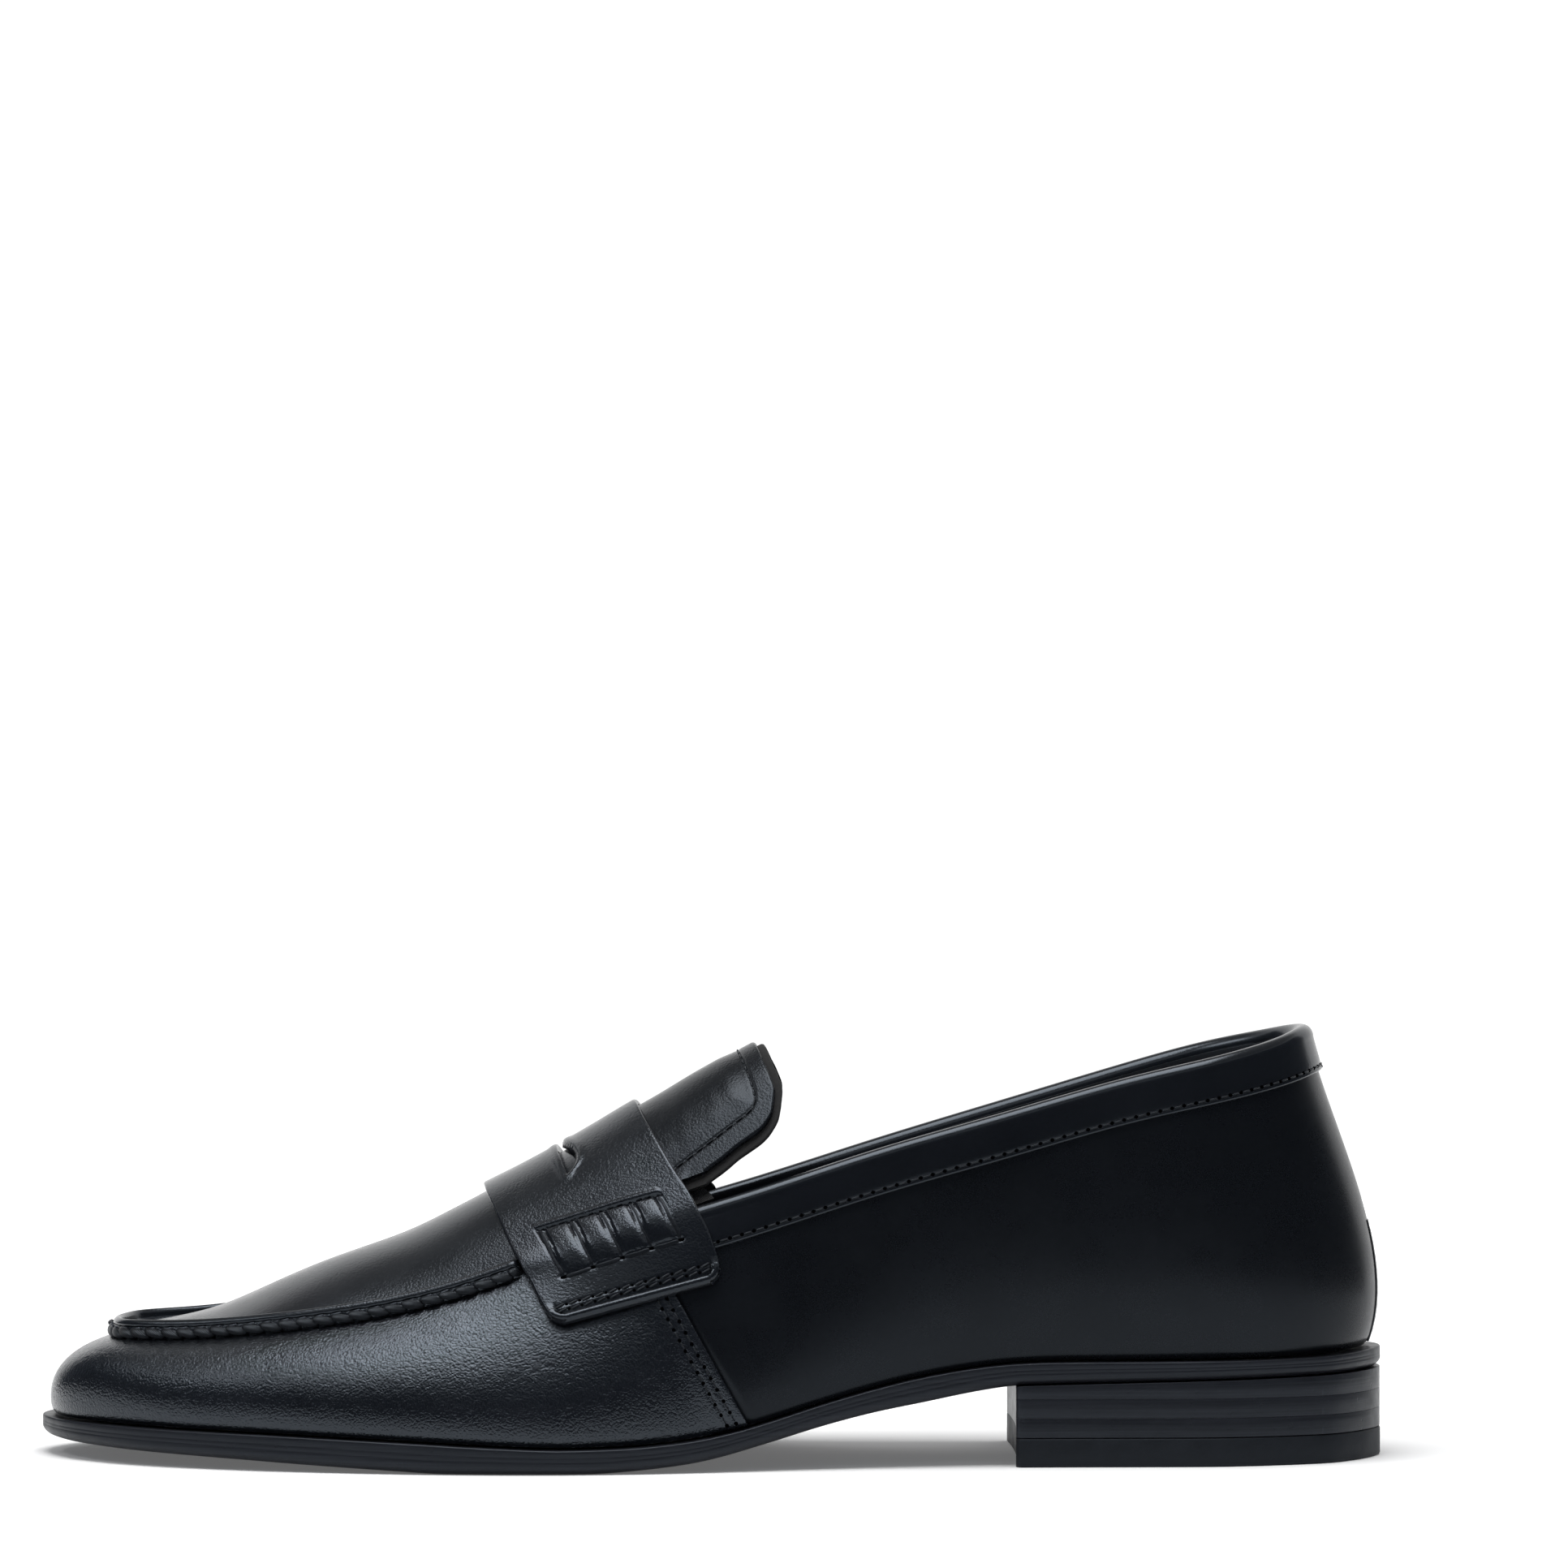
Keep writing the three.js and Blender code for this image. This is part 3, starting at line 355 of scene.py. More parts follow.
def facing(V, F, N):
    return F if (point_normals(V, F) * N).sum() > 0 else F[:, ::-1]


def thicken(V, F, t):
    """Closed sheet: the faces F stay on top, and the underside lies t below them."""
    N = point_normals(V, F)
    W = V - N * (t if np.isscalar(t) else np.asarray(t)[:, None])
    n = len(V)
    e = np.concatenate([F[:, [k, (k + 1) % 4]] for k in range(4)])
    key, rev = e[:, 0] * n + e[:, 1], e[:, 1] * n + e[:, 0]
    B = e[~np.isin(key, rev)]
    side = np.stack([B[:, 1], B[:, 0], B[:, 0] + n, B[:, 1] + n], -1)
    return np.concatenate([V, W]), np.concatenate([F, F[:, ::-1] + n, side]), NO_TRIS


def sheet(P, t, N=None):
    """Closed sheet from a grid of points whose normals look along N."""
    n, m = P.shape[:2]
    V, F = P.reshape(-1, 3), grid_faces(n, m)
    if N is not None:
        F = facing(V, F, np.broadcast_to(N, P.shape).reshape(-1, 3))
    return thicken(V, F, t)


def plates(A, B, N):
    """Closed sheet between two equal grids; A is its face, on the side N looks to."""
    n, m = A.shape[:2]
    V = A.reshape(-1, 3)
    F = facing(V, grid_faces(n, m), np.broadcast_to(N, A.shape).reshape(-1, 3))
    k = len(V)
    e = np.concatenate([F[:, [j, (j + 1) % 4]] for j in range(4)])
    e = e[~np.isin(e[:, 0] * k + e[:, 1], e[:, 1] * k + e[:, 0])]
    side = np.stack([e[:, 1], e[:, 0], e[:, 0] + k, e[:, 1] + k], -1)
    return np.concatenate([V, B.reshape(-1, 3)]), np.concatenate([F, F[:, ::-1] + k, side]), NO_TRIS


def loft(P):
    """Closed body through closed sections, one section a row, capped at both ends."""
    n, m = P.shape[:2]
    i = np.arange(n * m).reshape(n, m)
    j = np.roll(i, -1, 1)
    Q = np.stack([i[:-1], j[:-1], j[1:], i[1:]], -1).reshape(-1, 4)
    V = np.concatenate([P.reshape(-1, 3), P[0].mean(0)[None], P[-1].mean(0)[None]])
    T = np.concatenate([np.stack([j[0], i[0], np.full(m, n * m)], -1), np.stack([i[-1], j[-1], np.full(m, n * m + 1)], -1)])
    return V, Q, T


def strands(C, U, R, sides=8, flat=1.0):
    """Many short round cords at once: C (k, n, 3) paths, U the way up at each point, R (k, n) radii."""
    k, n = C.shape[:2]
    T = unit(np.gradient(C, axis=1))
    U = unit(U - (U * T).sum(-1, keepdims=True) * T)
    B = np.cross(T, U)
    a = np.arange(sides) * 2 * np.pi / sides
    ring = C[:, :, None] + R[:, :, None, None] * (np.cos(a)[:, None] * B[:, :, None] + flat * np.sin(a)[:, None] * U[:, :, None])
    per = n * sides + 2
    V = np.concatenate([ring.reshape(k, n * sides, 3), C[:, :1], C[:, -1:]], 1)
    i = np.arange(n * sides).reshape(n, sides)
    j = np.roll(i, -1, 1)
    Q = np.stack([i[:-1], j[:-1], j[1:], i[1:]], -1).reshape(-1, 4)
    F = np.concatenate([np.stack([j[0], i[0], np.full(sides, n * sides)], -1), np.stack([i[-1], j[-1], np.full(sides, n * sides + 1)], -1)])
    off = (np.arange(k) * per)[:, None, None]
    return V.reshape(-1, 3), (Q[None] + off).reshape(-1, 4), (F[None] + off).reshape(-1, 3)


def join(*meshes):
    V, Q, T, o = [], [], [], 0
    for v, q, t in meshes:
        V.append(v)
        Q.append(q + o)
        T.append(t + o)
        o += len(v)
    return np.concatenate(V), np.concatenate(Q), np.concatenate(T)


def outside_out(mesh):
    V, Q, T = mesh
    tri = np.concatenate([Q[:, [0, 1, 2]], Q[:, [0, 2, 3]], T])
    W = V - V.mean(0)
    vol = np.einsum("ij,ij->i", W[tri[:, 0]], np.cross(W[tri[:, 1]], W[tri[:, 2]])).sum()
    return (V, Q[:, ::-1], T[:, ::-1]) if vol < 0 else mesh


def piece(name, mesh, material, slot, body="shoe", nodes=(), crease=50):
    V, Q, T = outside_out(mesh)
    me = bpy.data.meshes.new(name)
    me.from_pydata(((V + SHIFT) / 1000).tolist(), [], Q.tolist() + T.tolist())
    me.polygons.foreach_set("use_smooth", np.ones(len(me.polygons), bool))
    me.set_sharp_from_angle(angle=math.radians(crease))
    me.materials.append(material)
    o = bpy.data.objects.new(name, me)
    bpy.context.scene.collection.objects.link(o)
    if body:
        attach(o, body)
    if nodes:
        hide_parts(*nodes)
    return o


def along(P):
    """Running length of a line of points."""
    return np.concatenate([[0], np.cumsum(np.linalg.norm(np.diff(P, axis=0), axis=-1))])


def resample(P, s, at):
    return np.stack([np.interp(at, s, P[:, k]) for k in range(P.shape[1])], -1)


def stitches(P, N, pitch, length, r, lift=0.3, lean=0.0, sides=8):
    """A row of lock stitches along the line P on a surface with normals N; lean turns each stitch a little, as a slanting needle does."""
    s = along(P)
    k = max(1, int(round(s[-1] / pitch)))
    c = (np.arange(k) + 0.5) * s[-1] / k
    t = np.linspace(-1, 1, 9)
    at = (c[:, None] + t * length / 2).ravel()
    X, U = resample(P, s, at).reshape(k, 9, 3), unit(resample(N, s, at)).reshape(k, 9, 3)
    D = unit(np.gradient(X, axis=1))
    h = r * (lift - (1.3 + lift) * t ** 4)
    X = X + U * h[None, :, None] + np.cross(U, D) * (lean * t * length / 2)[None, :, None]
    R = np.broadcast_to(r * np.sqrt(1.02 - t ** 6), (k, 9))
    return strands(X, U, R, sides)


def holes(P, N, pitch, r):
    """Where the needle went in, between the stitches of such a row: short plugs sunk into the surface, their caps
    showing as dots; in black they are painted shade for the holes.
    """
    s = along(P)
    k = max(1, int(round(s[-1] / pitch)))
    c = np.arange(k + 1) * s[-1] / k
    X, U = resample(P, s, c), unit(resample(N, s, c))
    t = np.linspace(0, 1, 3)
    C = X[:, None] + U[:, None] * (0.05 - 0.4 * t)[None, :, None]
    A = unit(resample(np.gradient(P, axis=0), s, c))
    return strands(C, np.broadcast_to(A[:, None], C.shape), np.broadcast_to(r * np.array([1, 0.9, 0.6]), (k + 1, 3)), 8)


def fine_ends(L, step, r):
    """Parameters 0..1 over a length L, with more of them within r of both ends."""
    e = r * (1 - np.cos(np.linspace(0, np.pi / 2, 6)))
    n = max(2, int(round((L - 2 * r) / step)))
    return np.concatenate([e[:-1], np.linspace(r, L - r, n), (L - e[:-1])[::-1]]) / L


def round_off(e, r):
    """How far a rounded edge of radius r lies below the sheet at distance e from the edge."""
    u = np.clip(e, 0, r)
    return r - np.sqrt(np.maximum(r * r - (r - u) ** 2, 0))


def bell(x, w):
    return np.exp(-(np.asarray(x) / w) ** 2)


def hash01(i, k=0):
    v = np.sin(np.asarray(i) * 12.9898 + k * 78.233 + 0.5) * 43758.5453
    return v - np.floor(v)


def wobble(x, y, seed=0):
    """Smooth irregular field between about -1 and 1."""
    out = 0
    for k in range(7):
        a = 2 * np.pi * hash01(k, seed)
        f = 0.6 + 1.1 * hash01(k, seed + 3)
        out = out + np.sin((x * np.cos(a) + y * np.sin(a)) * f + 6.28 * hash01(k, seed + 7))
    return out / 3.5

# ---------------------------------------------------------------- materials
class Nodes:
    """Short hand for building a node tree."""

    def __init__(self, name):
        self.m = bpy.data.materials.new(name)
        self.m.use_nodes = True
        self.t = self.m.node_tree
        self.t.nodes.clear()
        self.out = self.t.nodes.new("ShaderNodeOutputMaterial")
        self.s = self.t.nodes.new("ShaderNodeBsdfPrincipled")
        self.t.links.new(self.s.outputs[0], self.out.inputs[0])
        self.co = self.t.nodes.new("ShaderNodeTexCoord").outputs["Object"]

    def put(self, socket, v):
        if isinstance(v, bpy.types.NodeSocket):
            self.t.links.new(v, socket)
        else:
            socket.default_value = v

    def math(self, op, a, b=0.0, c=0.0):
        n = self.t.nodes.new("ShaderNodeMath")
        n.operation = op
        for i, v in enumerate((a, b, c)):
            self.put(n.inputs[i], v)
        return n.outputs[0]

    def vec(self, op, a, b, out=0):
        n = self.t.nodes.new("ShaderNodeVectorMath")
        n.operation = op
        self.put(n.inputs[0], a)
        if op == "SCALE":
            self.put(n.inputs["Scale"], b)
        else:
            self.put(n.inputs[1], b)
        return n.outputs[out]

    def noise(self, scale, detail=3.0, rough=0.5, co=None, color=False):
        n = self.t.nodes.new("ShaderNodeTexNoise")
        self.put(n.inputs["Vector"], self.co if co is None else co)
        n.inputs["Scale"].default_value = scale
        n.inputs["Detail"].default_value = detail
        n.inputs["Roughness"].default_value = rough
        return n.outputs["Color" if color else "Fac"]

    def cells(self, scale, co=None, feature="SMOOTH_F1", smooth=0.5):
        n = self.t.nodes.new("ShaderNodeTexVoronoi")
        n.feature = feature
        self.put(n.inputs["Vector"], self.co if co is None else co)
        n.inputs["Scale"].default_value = scale
        if feature == "SMOOTH_F1":
            n.inputs["Smoothness"].default_value = smooth
        return n.outputs["Distance"]

    def fit(self, v, a, b, c, d):
        n = self.t.nodes.new("ShaderNodeMapRange")
        self.put(n.inputs["Value"], v)
        for k, x in zip(("From Min", "From Max", "To Min", "To Max"), (a, b, c, d)):
            n.inputs[k].default_value = x
        return n.outputs[0]

    def ramp(self, v, stops):
        n = self.t.nodes.new("ShaderNodeValToRGB")
        self.put(n.inputs[0], v)
        e = n.color_ramp.elements
        e[0].position, e[0].color = stops[0][0], (*stops[0][1], 1)
        e[1].position, e[1].color = stops[-1][0], (*stops[-1][1], 1)
        for p, c in stops[1:-1]:
            x = e.new(p)
            x.color = (*c, 1)
        return n.outputs[0]

    def blend(self, f, a, b):
        n = self.t.nodes.new("ShaderNodeMix")
        n.data_type = "RGBA"
        self.put(n.inputs[0], f)
        self.put(n.inputs[6], a if isinstance(a, bpy.types.NodeSocket) else (*a, 1))
        self.put(n.inputs[7], b if isinstance(b, bpy.types.NodeSocket) else (*b, 1))
        return n.outputs[2]

    def bump(self, height, distance, normal=None, strength=1.0):
        n = self.t.nodes.new("ShaderNodeBump")
        n.inputs["Strength"].default_value = strength
        n.inputs["Distance"].default_value = distance
        self.put(n.inputs["Height"], height)
        if normal is not None:
            self.put(n.inputs["Normal"], normal)
        return n.outputs[0]

    def pointy(self):
        return self.t.nodes.new("ShaderNodeNewGeometry").outputs["Pointiness"]

    def done(self, color, rough, normal=None, metal=0.0, level=0.5, coat=0.0, coat_rough=0.2, sheen=0.0, cool=False):
        s = self.s.inputs
        self.put(s["Base Color"], color if isinstance(color, bpy.types.NodeSocket) else (*color, 1))
        self.put(s["Roughness"], rough)
        s["Metallic"].default_value = metal
        s["Specular IOR Level"].default_value = level
        s["Coat Weight"].default_value = coat
        s["Coat Roughness"].default_value = coat_rough
        s["Sheen Weight"].default_value = sheen
        if cool:
            s["Specular Tint"].default_value = (0.76, 0.87, 1.0, 1)
        if normal is not None:
            self.put(s["Normal"], normal)
        return self.m


def shade(c, k):
    return tuple(x * k for x in c)


BLACK = (0.0036, 0.0041, 0.0053)


def leather(name, base=BLACK, rough=0.34, cell=1.15, depth=0.05, fine=0.012, crease=0.0, level=0.5, coat=0.0, coat_rough=0.15):
    """Dyed calf: cells of grain with softer and harder patches, fine pores, and sharp convex edges lighter, as rubbed
    wear and as a painted highlight.
    """
    n = Nodes(name)
    bend = n.vec("SCALE", n.vec("SUBTRACT", n.noise(420, 2, co=None, color=True), (0.5, 0.5, 0.5)), 0.0011)
    co = n.vec("ADD", n.co, bend)
    big = n.cells(1000 / cell, co, smooth=0.35)
    small = n.cells(1000 / (cell * 0.46), co, smooth=0.3)
    patch = n.fit(n.noise(55, 3), 0.3, 0.7, 0.65, 1.0)
    dome = n.math("MULTIPLY", n.math("SUBTRACT", 1.0, n.math("POWER", big, 1.6)), patch)
    grain = n.math("ADD", dome, n.math("MULTIPLY", n.math("SUBTRACT", 1.0, small), 0.38))
    pores = n.noise(5200, 2, 0.6)
    height = n.math("ADD", n.math("MULTIPLY", grain, depth / 1000), n.math("MULTIPLY", pores, fine / 1000))
    if crease:
        lines = n.noise(150, 2, 0.5, co=n.vec("MULTIPLY", n.co, (1.0, 0.35, 2.2)))
        ridge = n.math("ABSOLUTE", n.math("SUBTRACT", lines, 0.5))
        height = n.math("ADD", height, n.math("MULTIPLY", n.math("MINIMUM", ridge, 0.05), crease / 50))
    normal = n.bump(height, 1.0)
    # sharp convex edges lighter: rubbed wear, and also a painted highlight along the edges
    wear_and_edge_highlight = n.fit(n.pointy(), 0.52, 0.62, 0.0, 1.0)
    tone = n.blend(n.fit(n.noise(38, 4), 0.3, 0.7, 0.0, 1.0), shade(base, 0.8), shade(base, 1.25))
    tone = n.blend(n.math("MULTIPLY", wear_and_edge_highlight, 0.6), tone, shade(base, 2.6))
    r = n.math("ADD", n.fit(n.noise(90, 4, 0.6), 0.3, 0.7, rough - 0.04, rough + 0.05), n.math("MULTIPLY", big, 0.06))
    return n.done(tone, r, normal, level=level, coat=coat, coat_rough=coat_rough, cool=True)


def woven(name, base, pitch=0.55, rough=0.85):
    """Knitted elastic: fine ribs both ways."""
    n = Nodes(name)
    sep = n.t.nodes.new("ShaderNodeSeparateXYZ")
    n.put(sep.inputs[0], n.co)
    f = 2 * math.pi * 1000 / pitch
    a = n.math("SINE", n.math("MULTIPLY", n.math("ADD", sep.outputs[0], n.math("MULTIPLY", sep.outputs[2], 0.5)), f))
    b = n.math("SINE", n.math("MULTIPLY", n.math("ADD", sep.outputs[1], sep.outputs[2]), f * 0.8))
    h = n.math("MULTIPLY", a, b)
    c = n.blend(n.fit(h, -1, 1, 0, 1), shade(base, 0.5), shade(base, 1.5))
    return n.done(c, rough, n.bump(n.math("ADD", h, n.noise(3000, 2)), 0.00006), sheen=0.25)


def suede(name, base, rough=0.8, fleck=1.6, sheen=0.2):
    """Brushed or raw leather, cork and board: a soft irregular surface with flecks."""
    n = Nodes(name)
    f = n.noise(900, 5, 0.7)
    g = n.noise(140, 3, 0.5)
    c = n.blend(n.fit(f, 0.35, 0.7, 0, 1), shade(base, 0.6), shade(base, fleck))
    c = n.blend(n.math("MULTIPLY", g, 0.3), c, shade(base, 0.8))
    return n.done(c, rough, n.bump(n.math("ADD", f, n.math("MULTIPLY", g, 0.5)), 0.00008), sheen=sheen)


def cut_edge(name, base, rough=0.36):
    """Inked and waxed edge of sole leather: the layers show as faint level lines, with small nicks; its corners are
    lighter, a painted highlight.
    """
    n = Nodes(name)
    layers = n.noise(1.0, 3, 0.6, co=n.vec("MULTIPLY", n.co, (22.0, 22.0, 1500.0)))
    wax = n.noise(240, 4, 0.6)
    nick = n.fit(n.noise(650, 2, 0.5), 0.66, 0.74, 0, 1)
    c = n.blend(n.fit(layers, 0.35, 0.65, 0, 1), shade(base, 0.75), shade(base, 1.35))
    # corners of the edge lighter: painted highlight, the thin light line along the sole's top corner
    c = n.blend(n.fit(n.pointy(), 0.52, 0.6, 0, 0.55), c, shade(base, 2.6))
    h = n.math("ADD", n.math("MULTIPLY", layers, 0.00005), n.math("ADD", n.math("MULTIPLY", wax, 0.00003), n.math("MULTIPLY", nick, -0.00003)))
    return n.done(c, n.fit(wax, 0.3, 0.7, rough - 0.06, rough + 0.08), n.bump(h, 1.0), level=0.24, cool=True)


def rubber(name, base, rough=0.55):
    n = Nodes(name)
    f = n.noise(2600, 3, 0.6)
    g = n.noise(160, 3)
    c = n.blend(n.fit(g, 0.3, 0.7, 0, 1), shade(base, 0.8), shade(base, 1.4))
    return n.done(c, n.fit(g, 0.3, 0.7, rough - 0.05, rough + 0.1), n.bump(f, 0.00003), level=0.26, cool=True)


def metal(name, base, rough=0.35):
    n = Nodes(name)
    f = n.noise(1.0, 3, 0.6, co=n.vec("MULTIPLY", n.co, (300.0, 4000.0, 4000.0)))
    c = n.blend(f, shade(base, 0.8), shade(base, 1.1))
    return n.done(c, n.fit(f, 0.3, 0.7, rough - 0.08, rough + 0.1), n.bump(f, 0.00001), metal=1.0)


def yarn(name, base, rough=0.5, twist=0.5, level=0.3):
    """Waxed thread: tight twist seen as fine slanting lines."""
    n = Nodes(name)
    sep = n.t.nodes.new("ShaderNodeSeparateXYZ")
    n.put(sep.inputs[0], n.co)
    a = n.math("ADD", n.math("MULTIPLY", sep.outputs[0], 1.0), n.math("MULTIPLY", sep.outputs[2], 1.3))
    a = n.math("ADD", a, n.math("MULTIPLY", n.noise(500, 2), 0.0005))
    h = n.math("SINE", n.math("MULTIPLY", a, 2 * math.pi * 1000 / twist))
    fuzz = n.noise(4000, 3, 0.7)
    c = n.blend(n.fit(h, -1, 1, 0, 1), shade(base, 0.6), shade(base, 1.4))
    return n.done(c, rough, n.bump(n.math("ADD", n.math("MULTIPLY", h, 0.00004), n.math("MULTIPLY", fuzz, 0.00003)), 1.0), level=level, cool=True)


# Black with no reflection, for the plugs in needle holes and lace slits: painted shade of the holes' insides.
def black_hole_shade(name):
    n = Nodes(name)
    f = n.noise(800, 2)
    return n.done(n.blend(f, (0.0004, 0.0004, 0.0005), (0.0012, 0.0012, 0.0014)), 1.0, n.bump(f, 0.00002), level=0.0)


M = {
    "vamp_leather": leather("vamp_leather", rough=0.17, cell=0.56, depth=0.095, level=0.57),
    "plug_leather": leather("plug_leather", rough=0.18, cell=0.56, depth=0.030, fine=0.006, level=0.42),
    "strap_leather": leather("strap_leather", rough=0.16, cell=0.56, depth=0.042, fine=0.006, level=0.44),
    "quarter_leather": leather("quarter_leather", rough=0.26, cell=0.7, depth=0.003, fine=0.0012, level=0.21),
    "binding_leather": leather("binding_leather", rough=0.17, cell=0.7, depth=0.009, fine=0.004, level=0.40),
    "tongue_leather": leather("tongue_leather", rough=0.19, cell=0.56, depth=0.034, fine=0.006, level=0.24),
    "lining": leather("lining", base=(0.020, 0.022, 0.025), rough=0.36, cell=0.9, depth=0.016),
    "tongue_lining": suede("tongue_lining", (0.0028, 0.0029, 0.0033), 0.9, sheen=0.05),
    "insole": leather("insole", base=(0.011, 0.011, 0.012), rough=0.45, cell=0.9, depth=0.02),
    "gore_elastic": woven("gore_elastic", (0.005, 0.005, 0.006)),
    "sole_leather": cut_edge("sole_leather", (0.0095, 0.0102, 0.0130)),
    "heel_rubber": rubber("heel_rubber", (0.0066, 0.0075, 0.0095)),
    "steel": metal("steel", (0.55, 0.56, 0.58)),
    "cork": suede("cork", (0.33, 0.19, 0.09), 0.9),
    "foam": suede("foam", (0.03, 0.03, 0.032), 0.95),
    "stiffener": suede("stiffener", (0.16, 0.1, 0.055), 0.85),
    "cord": yarn("cord", (0.0048, 0.0052, 0.0062), 0.30, level=0.35),
    "thread": yarn("thread", (0.0110, 0.0118, 0.0135), 0.36, level=0.35),
    # lighter copy of the seam thread for the short ends above the lobes: painted highlight
    "thread_painted_highlight": yarn("thread_painted_highlight", (0.030, 0.034, 0.041), 0.40, level=0.5),
    "lace_leather": leather("lace_leather", rough=0.32, cell=0.6, depth=0.04, level=0.16),
    # black plugs for needle holes and slits: painted shade
    "hole": black_hole_shade("hole"),
}
SLOTS = {
    "outsole": "sole_leather", "heel_top_piece": "heel_rubber", "heel_lift_lower": "sole_leather", "heel_lift_middle": "sole_leather", "heel_lift_upper": "sole_leather",
    "heel_screw": "steel", "cork_filler": "cork", "steel_shank": "steel", "insole_board": "insole", "heel_cushion": "foam", "sock_liner": "insole",
    "vamp": "vamp_leather", "quarter_lateral": "quarter_leather", "quarter_medial": "quarter_leather", "toe_puff": "stiffener", "heel_counter": "stiffener",
    "vamp_lining": "lining", "quarter_lining_lateral": "lining", "quarter_lining_medial": "lining", "back_stay": "quarter_leather", "collar_binding": "binding_leather",
    "apron_plug": "plug_leather", "plug_lining": "lining", "apron_seam_thread": "thread", "saddle_strap": "strap_leather", "strap_lacing_lateral": "strap_leather",
    "strap_lacing_medial": "strap_leather", "gore_lateral": "gore_elastic", "gore_medial": "gore_elastic", "tongue": "tongue_leather", "tongue_lining": "tongue_lining",
}
for node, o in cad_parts.items():
    m = M[SLOTS.get(node, "steel")]
    if not o.material_slots:
        o.data.materials.append(m)
    for s in o.material_slots:
        s.material = m

# ---------------------------------------------------------------- outsole and heel
def ring_sections(at, n, rows):
    """Closed loops from (inset, height function) rows; point i faces point n-1-i."""
    return np.stack([np.concatenate([xy, z(xy[:, :1])], 1) for xy, z in ((at(inset), z) for inset, z in rows)])


def capped(P):
    """Body through closed loops, its two ends closed by strips straight across."""
    n, m = P.shape[:2]
    i = np.arange(n * m).reshape(n, m)
    j = np.roll(i, -1, 1)
    Q = [np.stack([i[:-1], j[:-1], j[1:], i[1:]], -1).reshape(-1, 4)]
    k = np.arange(m // 2 - 1)
    for row, turn in ((0, True), (n - 1, False)):
        a = row * m + np.stack([m - 1 - k, m - 2 - k, k + 1, k], -1)
        Q.append(a if turn else a[:, ::-1])
    return P.reshape(-1, 3), np.concatenate(Q), NO_TRIS


NP = 900
sole_q = (np.arange(NP) + 0.5) / NP * NPL
low = lambda dz: (lambda x: sole_bottom_s(x) + dz)
high = lambda dz: (lambda x: sole_top_s(x) + dz)
part_way = lambda f: (lambda x: mix(sole_bottom_s(x) + 1.7, sole_top_s(x) - 0.5, f))
rows = [(9.4, low(0)), (8.6, low(0.0)), (8.3, low(0.3)), (7.9, low(0.3)), (7.6, low(0)), (4, low(0)), (2.6, low(0)), (1.9, low(0.07)), (1.2, low(0.32)), (0.65, low(0.75)), (0.25, low(1.25)), (0.03, low(1.7)),
        (0.0, part_way(.12)), (0.0, part_way(.30)), (0.035, part_way(.34)), (0.0, part_way(.38)), (0.0, part_way(.60)), (0.03, part_way(.635)), (0.0, part_way(.67)), (0.0, part_way(.86)),
        (0.0, high(-.42)), (0.05, high(-.24)), (0.17, high(-.09)), (0.38, high(-.02)), (0.7, high(0)), (4.0, high(0)), (9.0, high(0))]
piece("outsole", capped(ring_sections(lambda inset: plan(sole_q, inset), NP, rows)), M["sole_leather"], "sole_leather", nodes=["outsole"], crease=60)


def heel_outline(inset, n=260, corner=1.4):
    """D-shaped plan of the heel, its breast slightly hollow, corners rounded; point i faces point n-1-i."""
    x0 = BREAST_X + (0 if inset < 0.3 else 0.05)
    ends = []
    for side in (1, -1):
        a, b = 0.5, NPL / 2 - 0.5
        for _ in range(40):
            m = (a + b) / 2
            if plan(np.array(side * m), inset)[0] > x0 + corner:
                a = m
            else:
                b = m
        ends.append(side * a)
    ql, qm = ends
    back = plan(np.linspace(ql, qm, 2 * n - 61 * 2), inset)
    pts = []
    for p, y_to in ((back[-1], back[0]),):
        y0, y1 = back[-1][1], back[0][1]
        t = np.linspace(0, 1, 122)
        ang = np.linspace(0, np.pi / 2, 12)
        c0 = np.stack([p[0] - corner * np.sin(ang), y0 - np.sign(y0) * corner * (1 - np.cos(ang))], -1)
        q = back[0]
        c1 = np.stack([q[0] - corner * np.sin(ang), q[1] - np.sign(q[1]) * corner * (1 - np.cos(ang))], -1)[::-1]
        ys = np.linspace(c0[-1, 1], c1[0, 1], 122 - 22)[1:-1]
        w = (c0[-1, 1] - c1[0, 1]) / 2
        mid = (c0[-1, 1] + c1[0, 1]) / 2
        xs = x0 + 0.9 * (1 - ((ys - mid) / w) ** 2)
        pts = np.concatenate([back, c0[1:], np.stack([xs, ys], -1), c1[:-1]])
    return pts


def lift(name, z0, z1, inset, slot_name, bevel=0.22):
    f0 = z0 if callable(z0) else (lambda x, z=z0: 0 * x + z)
    f1 = z1 if callable(z1) else (lambda x, z=z1: 0 * x + z)
    rows = [(inset + bevel * 2, lambda x: f0(x)), (inset + bevel, lambda x: f0(x)), (inset + bevel * .3, lambda x: f0(x) + bevel * .3), (inset, lambda x: f0(x) + bevel), (inset, lambda x: mix(f0(x), f1(x), .5)),
            (inset, lambda x: f1(x) - bevel), (inset + bevel * .3, lambda x: f1(x) - bevel * .3), (inset + bevel, lambda x: f1(x)), (inset + bevel * 2, lambda x: f1(x))]
    loops = []
    for i, f in rows:
        xy = heel_outline(i)
        loops.append(np.concatenate([xy, f(xy[:, :1])], 1))
    return piece(name, loft(np.stack(loops)), M[slot_name], slot_name, nodes=[name], crease=60)


